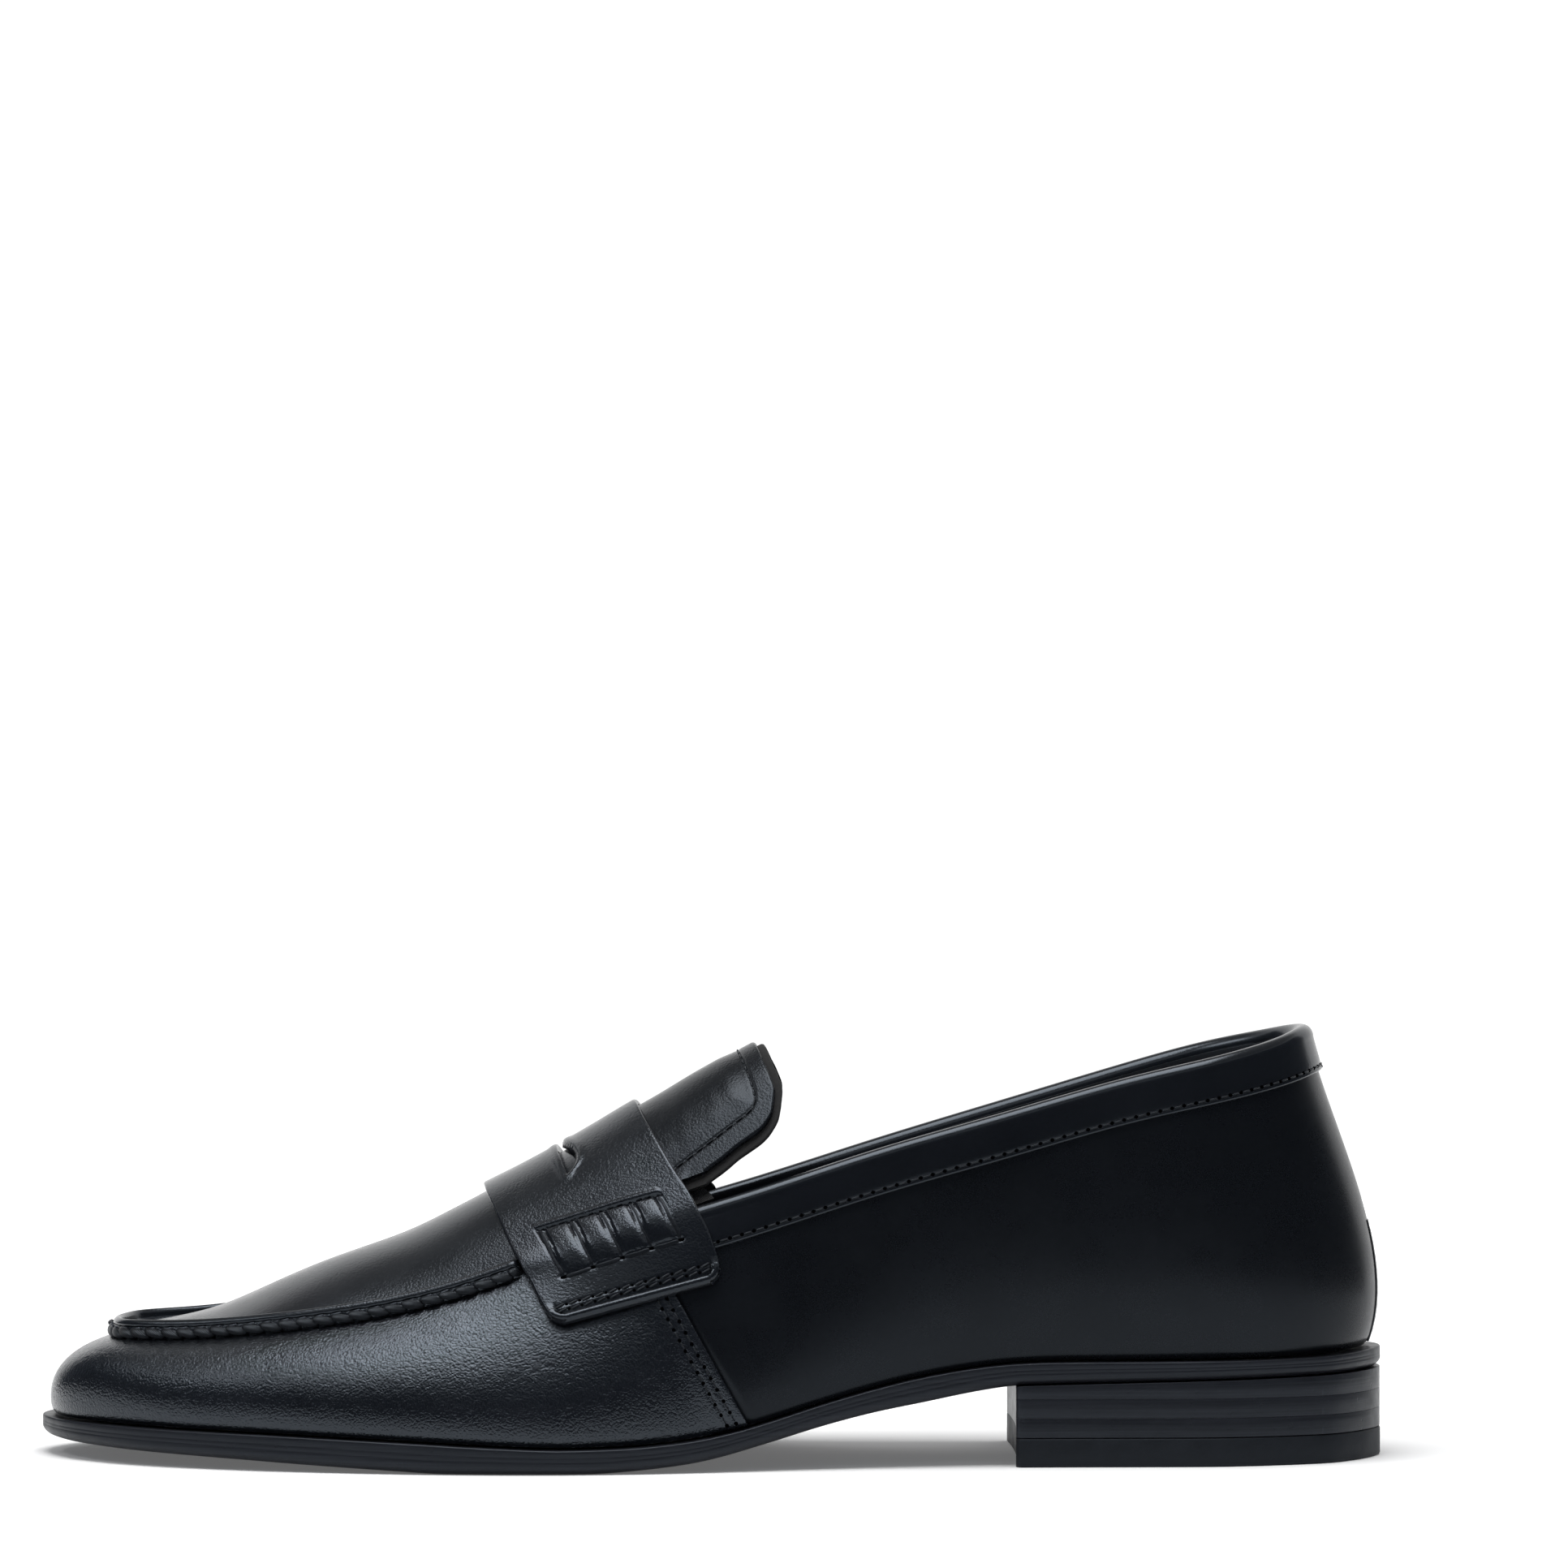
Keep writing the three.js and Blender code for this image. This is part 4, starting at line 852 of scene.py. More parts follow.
lift("heel_lift_lower", 6.40, 10.54, 0.09, "sole_leather", 0.06)
lift("heel_lift_middle", 10.56, 14.74, 0.09, "sole_leather", 0.06)
lift("heel_lift_upper", 14.76, lambda x: sole_bottom_s(x) - 0.03, 0.09, "sole_leather", 0.06)
top_piece = lift("heel_top_piece", 0.0, 6.3, 0.0, "heel_rubber", 0.5)
for i, (x, y) in enumerate([[84, -17], [84, 16], [112, -21], [112, 21], [134, 0]]):
    t = np.linspace(0, 1, 2)[:, None, None]
    a = np.arange(32) * 2 * np.pi / 32
    ring = np.stack([x + 1.15 * np.cos(a), y + 1.15 * np.sin(a), 0 * a], -1)
    hole = loft(np.stack([ring + [0, 0, -1], ring + [0, 0, 5.0]]))
    me = bpy.data.meshes.new("nail_hole_%d" % i)
    V, Q, T = outside_out(hole)
    me.from_pydata(((V + SHIFT) / 1000).tolist(), [], Q.tolist() + T.tolist())
    cutter = bpy.data.objects.new("nail_hole_%d" % i, me)
    bpy.context.scene.collection.objects.link(cutter)
    b = top_piece.modifiers.new("hole", "BOOLEAN")
    b.operation, b.solver, b.object = "DIFFERENCE", "EXACT", cutter
    bpy.context.view_layer.objects.active = top_piece
    bpy.ops.object.modifier_apply(modifier=b.name)
    bpy.data.objects.remove(cutter)

# ---------------------------------------------------------------- wall of the upper
def seam_x(z):
    return mix(9.5, -7.3, (z - 9) / 30)


def seam_k(side, f, shift):
    """Station of the side seam at each profile height f."""
    f = np.asarray(f, float)
    a, b = np.full(f.shape, 6.0), np.full(f.shape, 11.5)
    for _ in range(26):
        m = (a + b) / 2
        p = wall0(side_q(side, m), f)
        ahead = p[..., 0] < seam_x(np.minimum(p[..., 2], 44)) + shift
        a, b = np.where(ahead, m, a), np.where(ahead, b, m)
    return (a + b) / 2


def even_q(q0, q1, step, f=0.5):
    """Stations from q0 to q1 at even distances along the wall."""
    q = np.linspace(q0, q1, 2000)
    s = along(wall0(q, f))
    n = int(s[-1] / step)
    return np.interp(np.linspace(0, s[-1], n), s, q), s[-1]


def margin_rows(q):
    """Turned-in edge under the insole: two points a column."""
    p, w = station(q), outward(q)
    tip = p[:, :2] - w * LASTING
    z1 = sole_top_s(tip[:, 0]) + WELT_GAP
    z2 = sole_top_s(p[:, 0]) + WELT_GAP
    a = np.concatenate([tip, z1[:, None]], 1)
    b = np.concatenate([p[:, :2] - w * 1.5, z2[:, None]], 1)
    c = np.concatenate([p[:, :2] - w * 0.55, z2[:, None] + 0.06], 1)
    return a, b, c


RIDGE_END = (-42.3, -39.6)


def ridge_height(x):  # the ridge flattens out under the strap
    return 1 - smooth(*RIDGE_END, x)


# vamp: the columns run from the medial seam round the toe to the lateral seam
fr = np.concatenate([[0.004, 0.012, 0.024, 0.04], np.linspace(0.06, 0.94, 62), [0.955, 0.965, 0.975, 0.985, 0.993, 1.0]])
kl, km = seam_k(-1, fr, -0.3), seam_k(1, fr, -0.3)
qv, length_v = even_q(-km[30], kl[30], 0.42)
av = (qv - qv[0]) / (qv[-1] - qv[0])
edge_t = fine_ends(length_v, 0.42, 0.9)
av = np.interp(edge_t, np.linspace(0, 1, len(av)), av)
Q = mix(-km[None, :], kl[None, :], av[:, None])
Sv = np.broadcast_to(fr, Q.shape)
P0 = wall0(Q, Sv)
dist_l = np.linalg.norm(P0 - P0[-1:], axis=-1)
dist_m = np.linalg.norm(P0 - P0[:1], axis=-1)
seam_d = np.minimum(dist_l, dist_m)
D = 0.72 * (1 - smooth(0.3, 10, seam_d)) - round_off(seam_d, 0.45)
for off in (2.3, 4.3):
    D -= 0.16 * bell(seam_d - off, 0.45)
D -= 0.55 * np.exp(-(P0[..., 2] - P0[:, :1, 2]) / 0.55)
Pv = wall(Q, Sv, D)
NV = wall_n(Q, Sv)
a, b, c = margin_rows(Q[:, 0])
rim, out2 = station(Q[:, -1])[:, 2:5], outward(Q[:, -1])
rim_s = along(rim)
f_r = ridge_height(rim[:, 0])
band = []
for t in (0.0, .08, .2, .35, .5, .65, .8, .92, 1.0):
    z = 2.55 * t * f_r
    w = (0.28 * np.sin(np.pi * min(1, t * 1.15)) * (1 if t < .87 else .5) + 0.05 - 0.5 * max(0, t - .8) * 5 * .4) * f_r
    band.append(np.stack([rim[:, 0] + out2[:, 0] * w, rim[:, 1] + out2[:, 1] * w, rim[:, 2] + z + 0.02], -1))
Pv = np.concatenate([a[:, None], b[:, None], c[:, None], Pv, np.stack(band[1:], 1)], 1)
Nv = np.concatenate([NV[:, :1]] * 3 + [NV] + [NV[:, -1:]] * 8, 1)
piece("vamp", sheet(Pv, 1.15, Nv), M["vamp_leather"], "vamp_leather", nodes=["vamp"])

# thread that whips the plug to the vamp: fat slanting lobes, with small ends in the groove above, made lighter than the
# lobes as a painted highlight
ql, qm = rim_l(-38.8)[2], rim_m(-38.8)[2]
qd = np.linspace(-qm, ql, 6000)
line = station(qd)[:, 2:5]
ls = along(line)
pitch = 3.95
k = int(ls[-1] / pitch)
cen = (np.arange(k) + 0.5) * ls[-1] / k
t = np.linspace(-1, 1, 15)
jit = lambda j, a: a * (hash01(np.arange(k), j)[:, None] - 0.5) * 2
u = cen[:, None] + 2.75 * t + jit(1, 0.18)
C = resample(line, ls, u.ravel()).reshape(k, 15, 3)
W2 = outward(np.interp(u.ravel(), ls, qd)).reshape(k, 15, 2)
fr2 = ridge_height(C[..., 0])
zz = (1.08 - 0.78 * t + jit(2, 0.1)) * (0.25 + 0.75 * fr2)
ww = (0.12 + 0.62 * (1 - t ** 2) - 0.1 * t) * fr2 - 0.7 * (1 - fr2)
C = C + np.stack([W2[..., 0] * ww, W2[..., 1] * ww, zz], -1)
U = np.concatenate([W2, np.full(W2.shape[:2] + (1,), 0.25)], -1)
R = (0.98 + jit(3, 0.07)) * np.sqrt(np.maximum(1.01 - np.abs(t) ** 2.6, 0)) * (0.3 + 0.7 * fr2)
lobes = strands(C, U, R, 14, 0.72)
td = np.linspace(-1, 1, 9)
u = cen[:, None] - 0.9 + 0.95 * td + jit(4, 0.25)
C = resample(line, ls, np.clip(u, 0, ls[-1]).ravel()).reshape(k, 9, 3)
W2 = outward(np.interp(u.ravel(), ls, qd)).reshape(k, 9, 2)
fr2 = ridge_height(C[..., 0])
zz = (2.18 + 0.12 * td + jit(5, 0.06)) * fr2
ww = 0.55 - 0.3 * td ** 4 - 1.0 * (1 - fr2)
C = C + np.stack([W2[..., 0] * ww, W2[..., 1] * ww, zz], -1)
U = np.concatenate([W2, np.full(W2.shape[:2] + (1,), 0.5)], -1)
dashes = strands(C, U, 0.27 * np.sqrt(1.02 - td ** 6) * np.ones((k, 1)), 8)
# the tied end of the thread at the front of the toe
toe_q = np.interp(0.5 * ls[-1], ls, qd)
knot_c = station(toe_q)[2:5] + np.array([-0.6, 0, 2.2])
th = np.linspace(-1, 1, 9)
C = knot_c + np.stack([-0.7 * (1 - th ** 2), th * 1.3 + 3.0, 0.35 * th], -1)
knot = strands(C[None], np.broadcast_to([-1.0, 0, 0.3], (1, 9, 3)), (0.45 * np.sqrt(1.02 - th ** 6))[None], 10)
piece("apron_seam_thread", join(lobes, knot), M["cord"], "thread", nodes=["apron_seam_thread"], crease=80)
piece("apron_seam_top_thread", dashes, M["thread_painted_highlight"], "thread", crease=80)

# ---------------------------------------------------------------- plug of the apron, its edge rolled up
kl_end, km_end = rim_l(-11.0)[2], rim_m(-11.0)[2]
QF = 2.4
m_side, n_front = 250, 60


def even_rim(q0, q1, n):
    q = np.linspace(q0, q1, 3000)
    s = along(station(q)[:, 2:5])
    return np.interp(np.linspace(0, s[-1], n), s, q)


q_loop = np.concatenate([even_rim(kl_end, QF, m_side), even_rim(QF, -QF, n_front)[1:-1], even_rim(-QF, -km_end, m_side)])
rim, w2 = station(q_loop)[:, 2:5], outward(q_loop)
fr3 = ridge_height(rim[:, 0])
INSET = 3.9


def plug_z(x, y):
    L, Mr = rim_l(x), rim_m(x)
    s = 2 * (y - L[0]) / (Mr[0] - L[0]) - 1
    return top0(x, s)[..., 2]


diag = lambda c, a: math.copysign(abs(c) ** (1.35 if 0 < a < 90 else 1), c)  # the outer top of the roll is pressed nearly flat
profile = [(0.12 + 1.0 * diag(math.cos(math.radians(a)), a) - 1.0, 3.0 + 1.02 * diag(math.sin(math.radians(a)), a)) for a in (-115, -80, -50, -25, 0, 14, 25, 36, 45, 54, 65, 76, 84, 90, 102, 118, 135, 155, 175)]
profile += [(-1.98, 2.5), (-2.1, 2.0), (-2.25, 1.5), (-2.45, 1.05), (-2.75, 0.7), (-3.1, 0.45), (-3.5, 0.3), (-INSET, None)]
strip = []
base_in = rim[:, :2] - w2 * INSET
z_in = plug_z(base_in[:, 0], base_in[:, 1])
for j, (w, z) in enumerate(profile):
    fl = -0.1 - (INSET - 0.1) * j / (len(profile) - 1)
    ww = mix(fl, w, fr3)
    xy = rim[:, :2] + w2 * ww[:, None]
    g = np.clip(-ww / INSET, 0, 1)
    z_flat = mix(rim[:, 2], z_in, g)
    if z is None:
        zz = z_in
    elif w < -2.2:
        zz = z_flat + (z - 0.3 * g) * fr3 * 0.9
    else:
        zz = mix(z_flat, rim[:, 2] + z, fr3)
    strip.append(np.stack([xy[:, 0], xy[:, 1], zz], -1))
strip = np.stack(strip, 0)  # profile rows x loop columns
inner = strip[-1]
left, front, right = inner[:m_side][::-1], inner[m_side - 1:m_side + n_front - 1], inner[m_side + n_front - 2:]
# left runs front -> rear, front runs lateral -> medial, right runs front -> rear
rear_s = np.linspace(-0.9, 0.9, n_front)
yl, ym = left[-1, 1], right[-1, 1]
ry = np.linspace(yl, ym, n_front)
rs = 2 * (ry - rim_l(-8.0)[0]) / (rim_m(-8.0)[0] - rim_l(-8.0)[0]) - 1
rx = strap_rear(np.abs(rs)) - 6.2
rx = rx + (left[-1, 0] - rx[0]) * (1 - np.linspace(0, 1, n_front)) + (right[-1, 0] - rx[-1]) * np.linspace(0, 1, n_front)
rear = np.stack([rx, ry], -1)
u, v = np.linspace(0, 1, m_side)[:, None, None], np.linspace(0, 1, n_front)[None, :, None]
Lc, Rc, Fc, Bc = left[:, None, :2], right[:, None, :2], front[None, :, :2], rear[None]
XY = (1 - v) * Lc + v * Rc + (1 - u) * Fc + u * Bc - ((1 - u) * (1 - v) * Fc[:, :1] + (1 - u) * v * Fc[:, -1:] + u * (1 - v) * Bc[:, :1] + u * v * Bc[:, -1:])
Z = plug_z(XY[..., 0], XY[..., 1])
Z[:, 0], Z[:, -1], Z[0, :] = left[:, 2], right[:, 2], front[:, 2]
core = np.concatenate([XY, Z[..., None]], -1)
ids = np.arange(m_side * n_front).reshape(m_side, n_front)
loop_ids = np.concatenate([ids[::-1, 0], ids[0, 1:-1], ids[:, -1]])
V = core.reshape(-1, 3)
off = len(V)
rows_n = len(profile) - 1
V = np.concatenate([V, strip[:-1].reshape(-1, 3)])
sid = np.concatenate([off + np.arange(rows_n * len(q_loop)).reshape(rows_n, -1), loop_ids[None]])
F = np.concatenate([grid_faces(m_side, n_front), np.stack([sid[:-1, :-1], sid[1:, :-1], sid[1:, 1:], sid[:-1, 1:]], -1).reshape(-1, 4)])
core_f = grid_faces(m_side, n_front)
if point_normals(V, core_f)[ids[100, 30], 2] < 0:
    core_f = core_f[:, ::-1]
sf = np.stack([sid[:-1, :-1], sid[1:, :-1], sid[1:, 1:], sid[:-1, 1:]], -1).reshape(-1, 4)
e_core = {(int(f[k]), int(f[(k + 1) % 4])) for f in core_f[:4000] for k in range(4)}
shared = sum((int(f[k]), int(f[(k + 1) % 4])) in e_core for f in sf[-400:] for k in range(4)) + sum((int(f[k]), int(f[(k + 1) % 4])) in e_core for f in sf for k in range(4))
if shared:
    sf = sf[:, ::-1]
piece("apron_plug", thicken(V, np.concatenate([core_f, sf]), 0.8), M["plug_leather"], "plug_leather", nodes=["apron_plug"], crease=60)

# ---------------------------------------------------------------- quarters
def quarter(side, name):
    f = np.concatenate([[0.004, 0.01, 0.02, 0.035], np.linspace(0.055, 0.985, 84), [1.0]])
    k0 = seam_k(side, f, -7.5)
    kk, L = even_q(k0[40], HEEL, 0.6)
    a = (kk - kk[0]) / (kk[-1] - kk[0])
    K = mix(k0[None, :], HEEL - 0.004, a[:, None])
    q = side_q(side, K)
    s = np.broadcast_to(f, q.shape)
    P = wall0(q, s)
    under = P[..., 0] - (seam_x(np.minimum(P[..., 2], 44)) - 0.2)
    d = -0.62 * (1 - smooth(-0.5, 1.6, under)) * (1 - smooth(2, 14, under) * 0)
    back = np.abs(K - HEEL) / 0.45 * 6.0
    d = d - 0.3 * bell(back, 0.4)
    d = d - 0.5 * np.exp(-(P[..., 2] - P[:, :1, 2]) / 0.55)
    d = d + 0.05 * wobble(P[..., 0] / 9, P[..., 2] / 7, 5 + side) * smooth(0, 6, P[..., 2] - P[:, :1, 2])
    Pq = wall(q, s, d)
    Nq = wall_n(q, s)
    a3, b3, c3 = margin_rows(q[:, 0])
    Pq = np.concatenate([a3[:, None], b3[:, None], c3[:, None], Pq], 1)
    Nq = np.concatenate([Nq[:, :1]] * 3 + [Nq], 1)
    piece(name, sheet(Pq, 1.2, Nq), M["quarter_leather"], "quarter_leather", nodes=[name])


quarter(-1, "quarter_lateral")
quarter(1, "quarter_medial")


def wall_line(q, z, d):
    s = wall_s(q, z)
    return wall(q, s, d), wall_n(q, s)


# back stay, narrowing upwards, with rounded edges and a stitch row on each side
zz = 25.0 + 26.6 * fine_ends(26.6, 0.5, 0.45)
aa = -1 + 2 * fine_ends(15, 0.35, 0.45)
half_w = lambda z: 0.50 - 0.14 * smooth(25, 51, z)
q = HEEL + aa[:, None] * half_w(zz)[None, :]
s = wall_s(q, np.broadcast_to(zz, q.shape))
P = wall0(q, s)
e = np.minimum(np.linalg.norm(P - P[:1], axis=-1), np.linalg.norm(P - P[-1:], axis=-1))
e = np.minimum(e, np.abs(51.6 - zz)[None, :])
d = 0.24 - round_off(e, 0.22) - 0.08 * bell(e - 1.5, 0.35)
piece("back_stay", sheet(wall(q, s, d), 0.8, wall_n(q, s)), M["quarter_leather"], "quarter_leather", nodes=["back_stay"])

# ---------------------------------------------------------------- collar binding
STRIP = 8.8
cols = 560


def collar_ends(drop):
    c = 1 + np.clip(np.asarray(drop, float) / 17, 0, 1)
    return [wall_at(side, strap_rear(c) - 1.5, 55.5 - np.asarray(drop, float))[0] for side in (-1, 1)]


def even_a(drop=3.0):
    ql, qm = collar_ends(drop)
    q = np.linspace(ql, qm, 4000)
    s = along(station(q)[:, 2:5])
    return (np.interp(np.linspace(0, s[-1], cols), s, q) - ql) / (qm - ql), s[-1]


col_a, col_len = even_a()


def collar_at(drop, d, dz=0.0):
    ql, qm = collar_ends(drop)
    q = mix(ql, qm, col_a)
    if drop <= 0:
        p = wall(q, 1.0, d)
        p[:, 2] = station(q)[:, 4] + dz
        return p
    z = station(q)[:, 4]
    return wall(q, wall_s(q, z - drop), d)


ROLL = 1.55


def roll_at(w, dz):
    ql, qm = collar_ends(ROLL)
    q = mix(ql, qm, col_a)
    p = wall0(q, wall_s(q, station(q)[:, 4] - ROLL))
    o = outward(q)
    p[:, :2] += o * w
    p[:, 2] += dz
    return p


section = [collar_at(STRIP, 0.05), collar_at(STRIP, 0.5), collar_at(STRIP - .06, 0.72), collar_at(STRIP - .2, 0.88), collar_at(STRIP - .45, 0.95)]
section += [collar_at(x, 0.97 - 0.14 * bell(x - 7.7, .4)) for x in (8.15, 7.95, 7.7, 7.45, 7.25)] + [collar_at(x, 1.0) for x in (6.4, 5.2, 4.0, 2.9, 2.1)]
roll_w, roll_h, mid = 2.3, 2.75, -1.28
section += [roll_at(mid + roll_w * math.cos(a), roll_h * math.sin(a)) for a in np.radians([1, 8, 16, 25, 34, 44, 54, 65, 77, 90, 103, 115, 126, 137, 148, 159, 170, 179])]
section += [collar_at(x, -3.58) for x in (2.2, 3.0, 3.9)] + [collar_at(x, -3.6 + 0.12 * bell(x - 4.9, .4)) for x in (4.6, 4.9, 5.2)] + [collar_at(5.8, -3.62), collar_at(6.0, -3.5), collar_at(6.1, -3.25), collar_at(6.1, -2.9)]
section += [collar_at(3.0, -2.9), collar_at(2.0, -2.3), collar_at(2.0, -.9), collar_at(3.0, 0.1)]
piece("collar_binding", loft(np.stack(section, 1)), M["binding_leather"], "binding_leather", nodes=["collar_binding"], crease=70)

# ---------------------------------------------------------------- linings and sock
def lining(side, name):
    f = np.linspace(0, 1, 46)
    k0 = seam_k(side, f * 0.98, 0.8)
    a = np.linspace(0, 1, 150)
    K = mix(k0[None, :], HEEL - 0.004, a[:, None])
    q = side_q(side, K)
    s0 = wall_s(q[:, 0], sole_top_s(station(q[:, 0])[:, 0]) + 2.8)
    s = mix(s0[:, None], 0.985, f[None, :])
    P = wall0(q, s)
    d = -2.95 + 0.10 * wobble(P[..., 0] / 8, P[..., 2] / 8, 9 + side)
    N = wall_n(q, s)
    piece(name, sheet(wall(q, s, d) - N * 0.75, 0.75, -N), M["lining"], "lining", nodes=[name])


lining(-1, "quarter_lining_lateral")
lining(1, "quarter_lining_medial")
qs = (np.arange(700) + 0.5) / 700 * NS
last_loop = lambda inset: feather(HEEL + qs, inset)
sock_z = lambda dz: (lambda x: sole_top_s(x) + 4.35 + 1.9 * smooth(62, 78, x) + dz)
piece("sock_liner", capped(ring_sections(last_loop, 700, [(6, sock_z(0)), (5.3, sock_z(0.05)), (5.1, sock_z(0.4)), (5.15, sock_z(0.7)), (5.4, sock_z(0.92)), (6.0, sock_z(1.0)), (8.0, sock_z(1.0))])), M["insole"], "insole", nodes=["sock_liner"])
# heel cushion: soft pad, its rim pulled in and its top crowned
ring_q = np.concatenate([np.linspace(11.7, 20.3, 161), ])
pad_rows = []
for inset, dz in ((11, 4.25), (9.8, 4.25), (9.2, 4.5), (9.0, 4.9), (9.2, 5.35), (9.9, 5.75), (11, 5.95), (13, 6.05)):
    xy = feather(ring_q, inset)
    close = np.stack([np.full(60, xy[0, 0]), np.linspace(xy[-1, 1], xy[0, 1], 62)[1:-1]], -1)
    loop_xy = np.concatenate([xy, close])
    pad_rows.append(np.concatenate([loop_xy, sole_top_s(loop_xy[:, :1]) + dz], 1))
cushion = piece("heel_cushion", loft(np.stack(pad_rows)), M["foam"], "foam", nodes=["heel_cushion"])

# ---------------------------------------------------------------- saddle strap
cd = np.linspace(-2, 2, 1281)
line = saddle0(np.full(cd.shape, 0.5), cd)
cs = along(line)
v_mm = np.arange(0, 1, 1.0 / 620)
v_mm = fine_ends(cs[-1], 0.27, 0.5) * cs[-1]
c_of = np.interp(v_mm, cs, cd)
W = 38.6
u_mm = fine_ends(W, 0.27, 0.5) * W
VL = np.minimum(v_mm, cs[-1] - v_mm)  # distance from the nearer lower end
Rc = 2.6
cut_in = Rc - np.sqrt(np.maximum(Rc * Rc - np.maximum(Rc - VL, 0) ** 2, 0))
UU = cut_in[None, :] + (u_mm / W)[:, None] * (W - 2 * cut_in[None, :])
VV = np.broadcast_to(v_mm, UU.shape)
VN = np.minimum(VV, cs[-1] - VV)
B = saddle0(UU / W, np.broadcast_to(c_of, UU.shape))
B = blur(B, 5, 1)
BN = grid_n(B)
if BN[len(u_mm) // 2, len(v_mm) // 2, 2] < 0:
    BN = -BN
A = UU / W
edge = np.minimum(np.minimum(UU, W - UU), VN)
edge = np.minimum(edge, np.where(VN < Rc, np.minimum(UU - cut_in[None, :], W - cut_in[None, :] - UU) + 1e9 * (VN >= Rc), 1e9))
corner = np.hypot(np.maximum(Rc + 0.2 - np.minimum(UU, W - UU), 0), np.maximum(Rc + 0.2 - VN, 0))
to_edge = np.where((np.minimum(UU, W - UU) < Rc + .2) & (VN < Rc + .2), Rc + .2 - corner - .2, np.minimum(np.minimum(UU, W - UU), VN))
to_edge = np.maximum(to_edge, 0)
hem_side = 1 - smooth(3.2, 6.0, VN)
hem_e = np.where(VN < 6, to_edge, 99)
H = np.full(UU.shape, 2.05)
H += 0.62 * np.sqrt(np.clip(1 - ((hem_e - 1.02) / 1.02) ** 2, 0, 1)) * hem_side * (1 - smooth(2.0, 6, VN) * .6)
H -= 0.22 * bell(hem_e - 2.25, 0.3) * hem_side
for row in (3.0, 4.25):
    H -= 0.13 * bell(VN - row, 0.38) * smooth(.03, .06, A) * (1 - smooth(.94, .97, A))
# the ridge of the apron seam lies under the strap's front edge
ridge_v = {-1: np.interp(-0.97, cd, cs), 1: cs[-1] - np.interp(0.97, cd, cs)}
for side in (-1, 1):
    mask = VV < cs[-1] / 2 if side < 0 else VV >= cs[-1] / 2
    H += np.where(mask, 0.42 * bell(VN - ridge_v[side], 3.2) * (1 - smooth(0.5, 11, UU)), 0)
# lacing panel: five flat laces with leather swelling up between them
BARS_TOP = np.array([.188, .363, .525, .688, .838])
BARS_LOW = np.array([.175, .341, .507, .672, .838])
v_top = lambda a: 25.3 - (a - .188) / .65 * 3.3
v_low = 11.3
T01 = np.clip((VN - v_low) / (v_top(A) - v_low), 0, 1)
inside = smooth(.155, .172, A) * (1 - smooth(.852, .87, A))
bar_u = [mix(BARS_LOW[i], BARS_TOP[i], T01) * W for i in range(5)]
in_panel = smooth(v_low - .4, v_low + .8, VN) * (1 - smooth(v_top(A) - .25, v_top(A) + .1, VN)) * inside
for i in range(4):
    m = (UU - bar_u[i]) / (bar_u[i + 1] - bar_u[i])
    pillow = np.clip(1 - np.abs(2 * m - 1) ** 3.5, 0, 1) * ((m > 0) & (m < 1))
    H += 0.85 * pillow * in_panel * np.sin(np.pi * np.clip(T01, 0, 1) ** 0.9) ** .7
for i in range(5):
    depth = .40 * smooth(0.25, .75, T01) + .05
    H -= depth * bell(np.abs(UU - bar_u[i]) - 0.78, 0.24) * in_panel
H -= 0.62 * bell(VN - v_top(A) - .15, 0.33) * inside
H += 0.25 * bell(VN - v_top(A) - 1.2, 0.6) * inside
H -= 0.3 * bell(np.abs(UU - np.where(A < .5, bar_u[0] - 1.45, bar_u[4] + 1.45)), .28) * in_panel * smooth(.15, .6, T01)
for i in range(5):
    H -= 0.5 * np.exp(-((UU - BARS_LOW[i] * W) / 0.75) ** 2 - ((VN - v_low + .1) / 0.5) ** 2)
H += 0.03 * wobble(UU / 6, VV / 8, 2)
H -= round_off(to_edge, 0.5)
strap_p = B + BN * H[..., None]
# eye-shaped slot over the crown
EX, HL, EY = -30.9, 18.5, 0.4
eye_front = lambda t: EX - 2.9 * (1 - t ** 2)
eye_rear = lambda t: eye_front(t) + (1.3 + 4.4 * np.abs(t) ** 1.5) * np.clip(1 - t ** 4, 0, 1) ** .8
ey = (strap_p[..., 1] - EY) / HL
eyc = np.clip(ey, -1, 1)
eye_d = np.maximum(eye_front(eyc) - strap_p[..., 0], strap_p[..., 0] - eye_rear(eyc))
eye_e = np.where(np.abs(ey) < 1, np.maximum(eye_d, 0), np.hypot(strap_p[..., 0] - EX, (np.abs(ey) - 1) * HL))
top_area = np.where(np.abs(VV - cs[-1] / 2) < 30, 1.0, 0.0)
strap_p = strap_p - BN * ((round_off(eye_e, .42) - 0.22 * bell(eye_e - .9, .8)) * top_area)[..., None]
strap_thick = H - 0.72
V = strap_p.reshape(-1, 3)
F = facing(V, grid_faces(*UU.shape), BN.reshape(-1, 3))
n_v = len(V)
low_v = (B + BN * 0.72).reshape(-1, 3)
e4 = np.concatenate([F[:, [k2, (k2 + 1) % 4]] for k2 in range(4)])
bd = e4[~np.isin(e4[:, 0] * n_v + e4[:, 1], e4[:, 1] * n_v + e4[:, 0])]
strap_mesh = (np.concatenate([V, low_v]), np.concatenate([F, F[:, ::-1] + n_v, np.stack([bd[:, 1], bd[:, 0], bd[:, 0] + n_v, bd[:, 1] + n_v], -1)]), NO_TRIS)
strap = piece("saddle_strap", strap_mesh, M["strap_leather"], "strap_leather", nodes=["saddle_strap"], crease=60)
t = np.sin(np.linspace(-1, 1, 61) * np.pi / 2)
eye = np.concatenate([np.stack([eye_rear(t), EY + HL * t], -1), np.stack([eye_front(t), EY + HL * t], -1)[::-1][1:-1]])
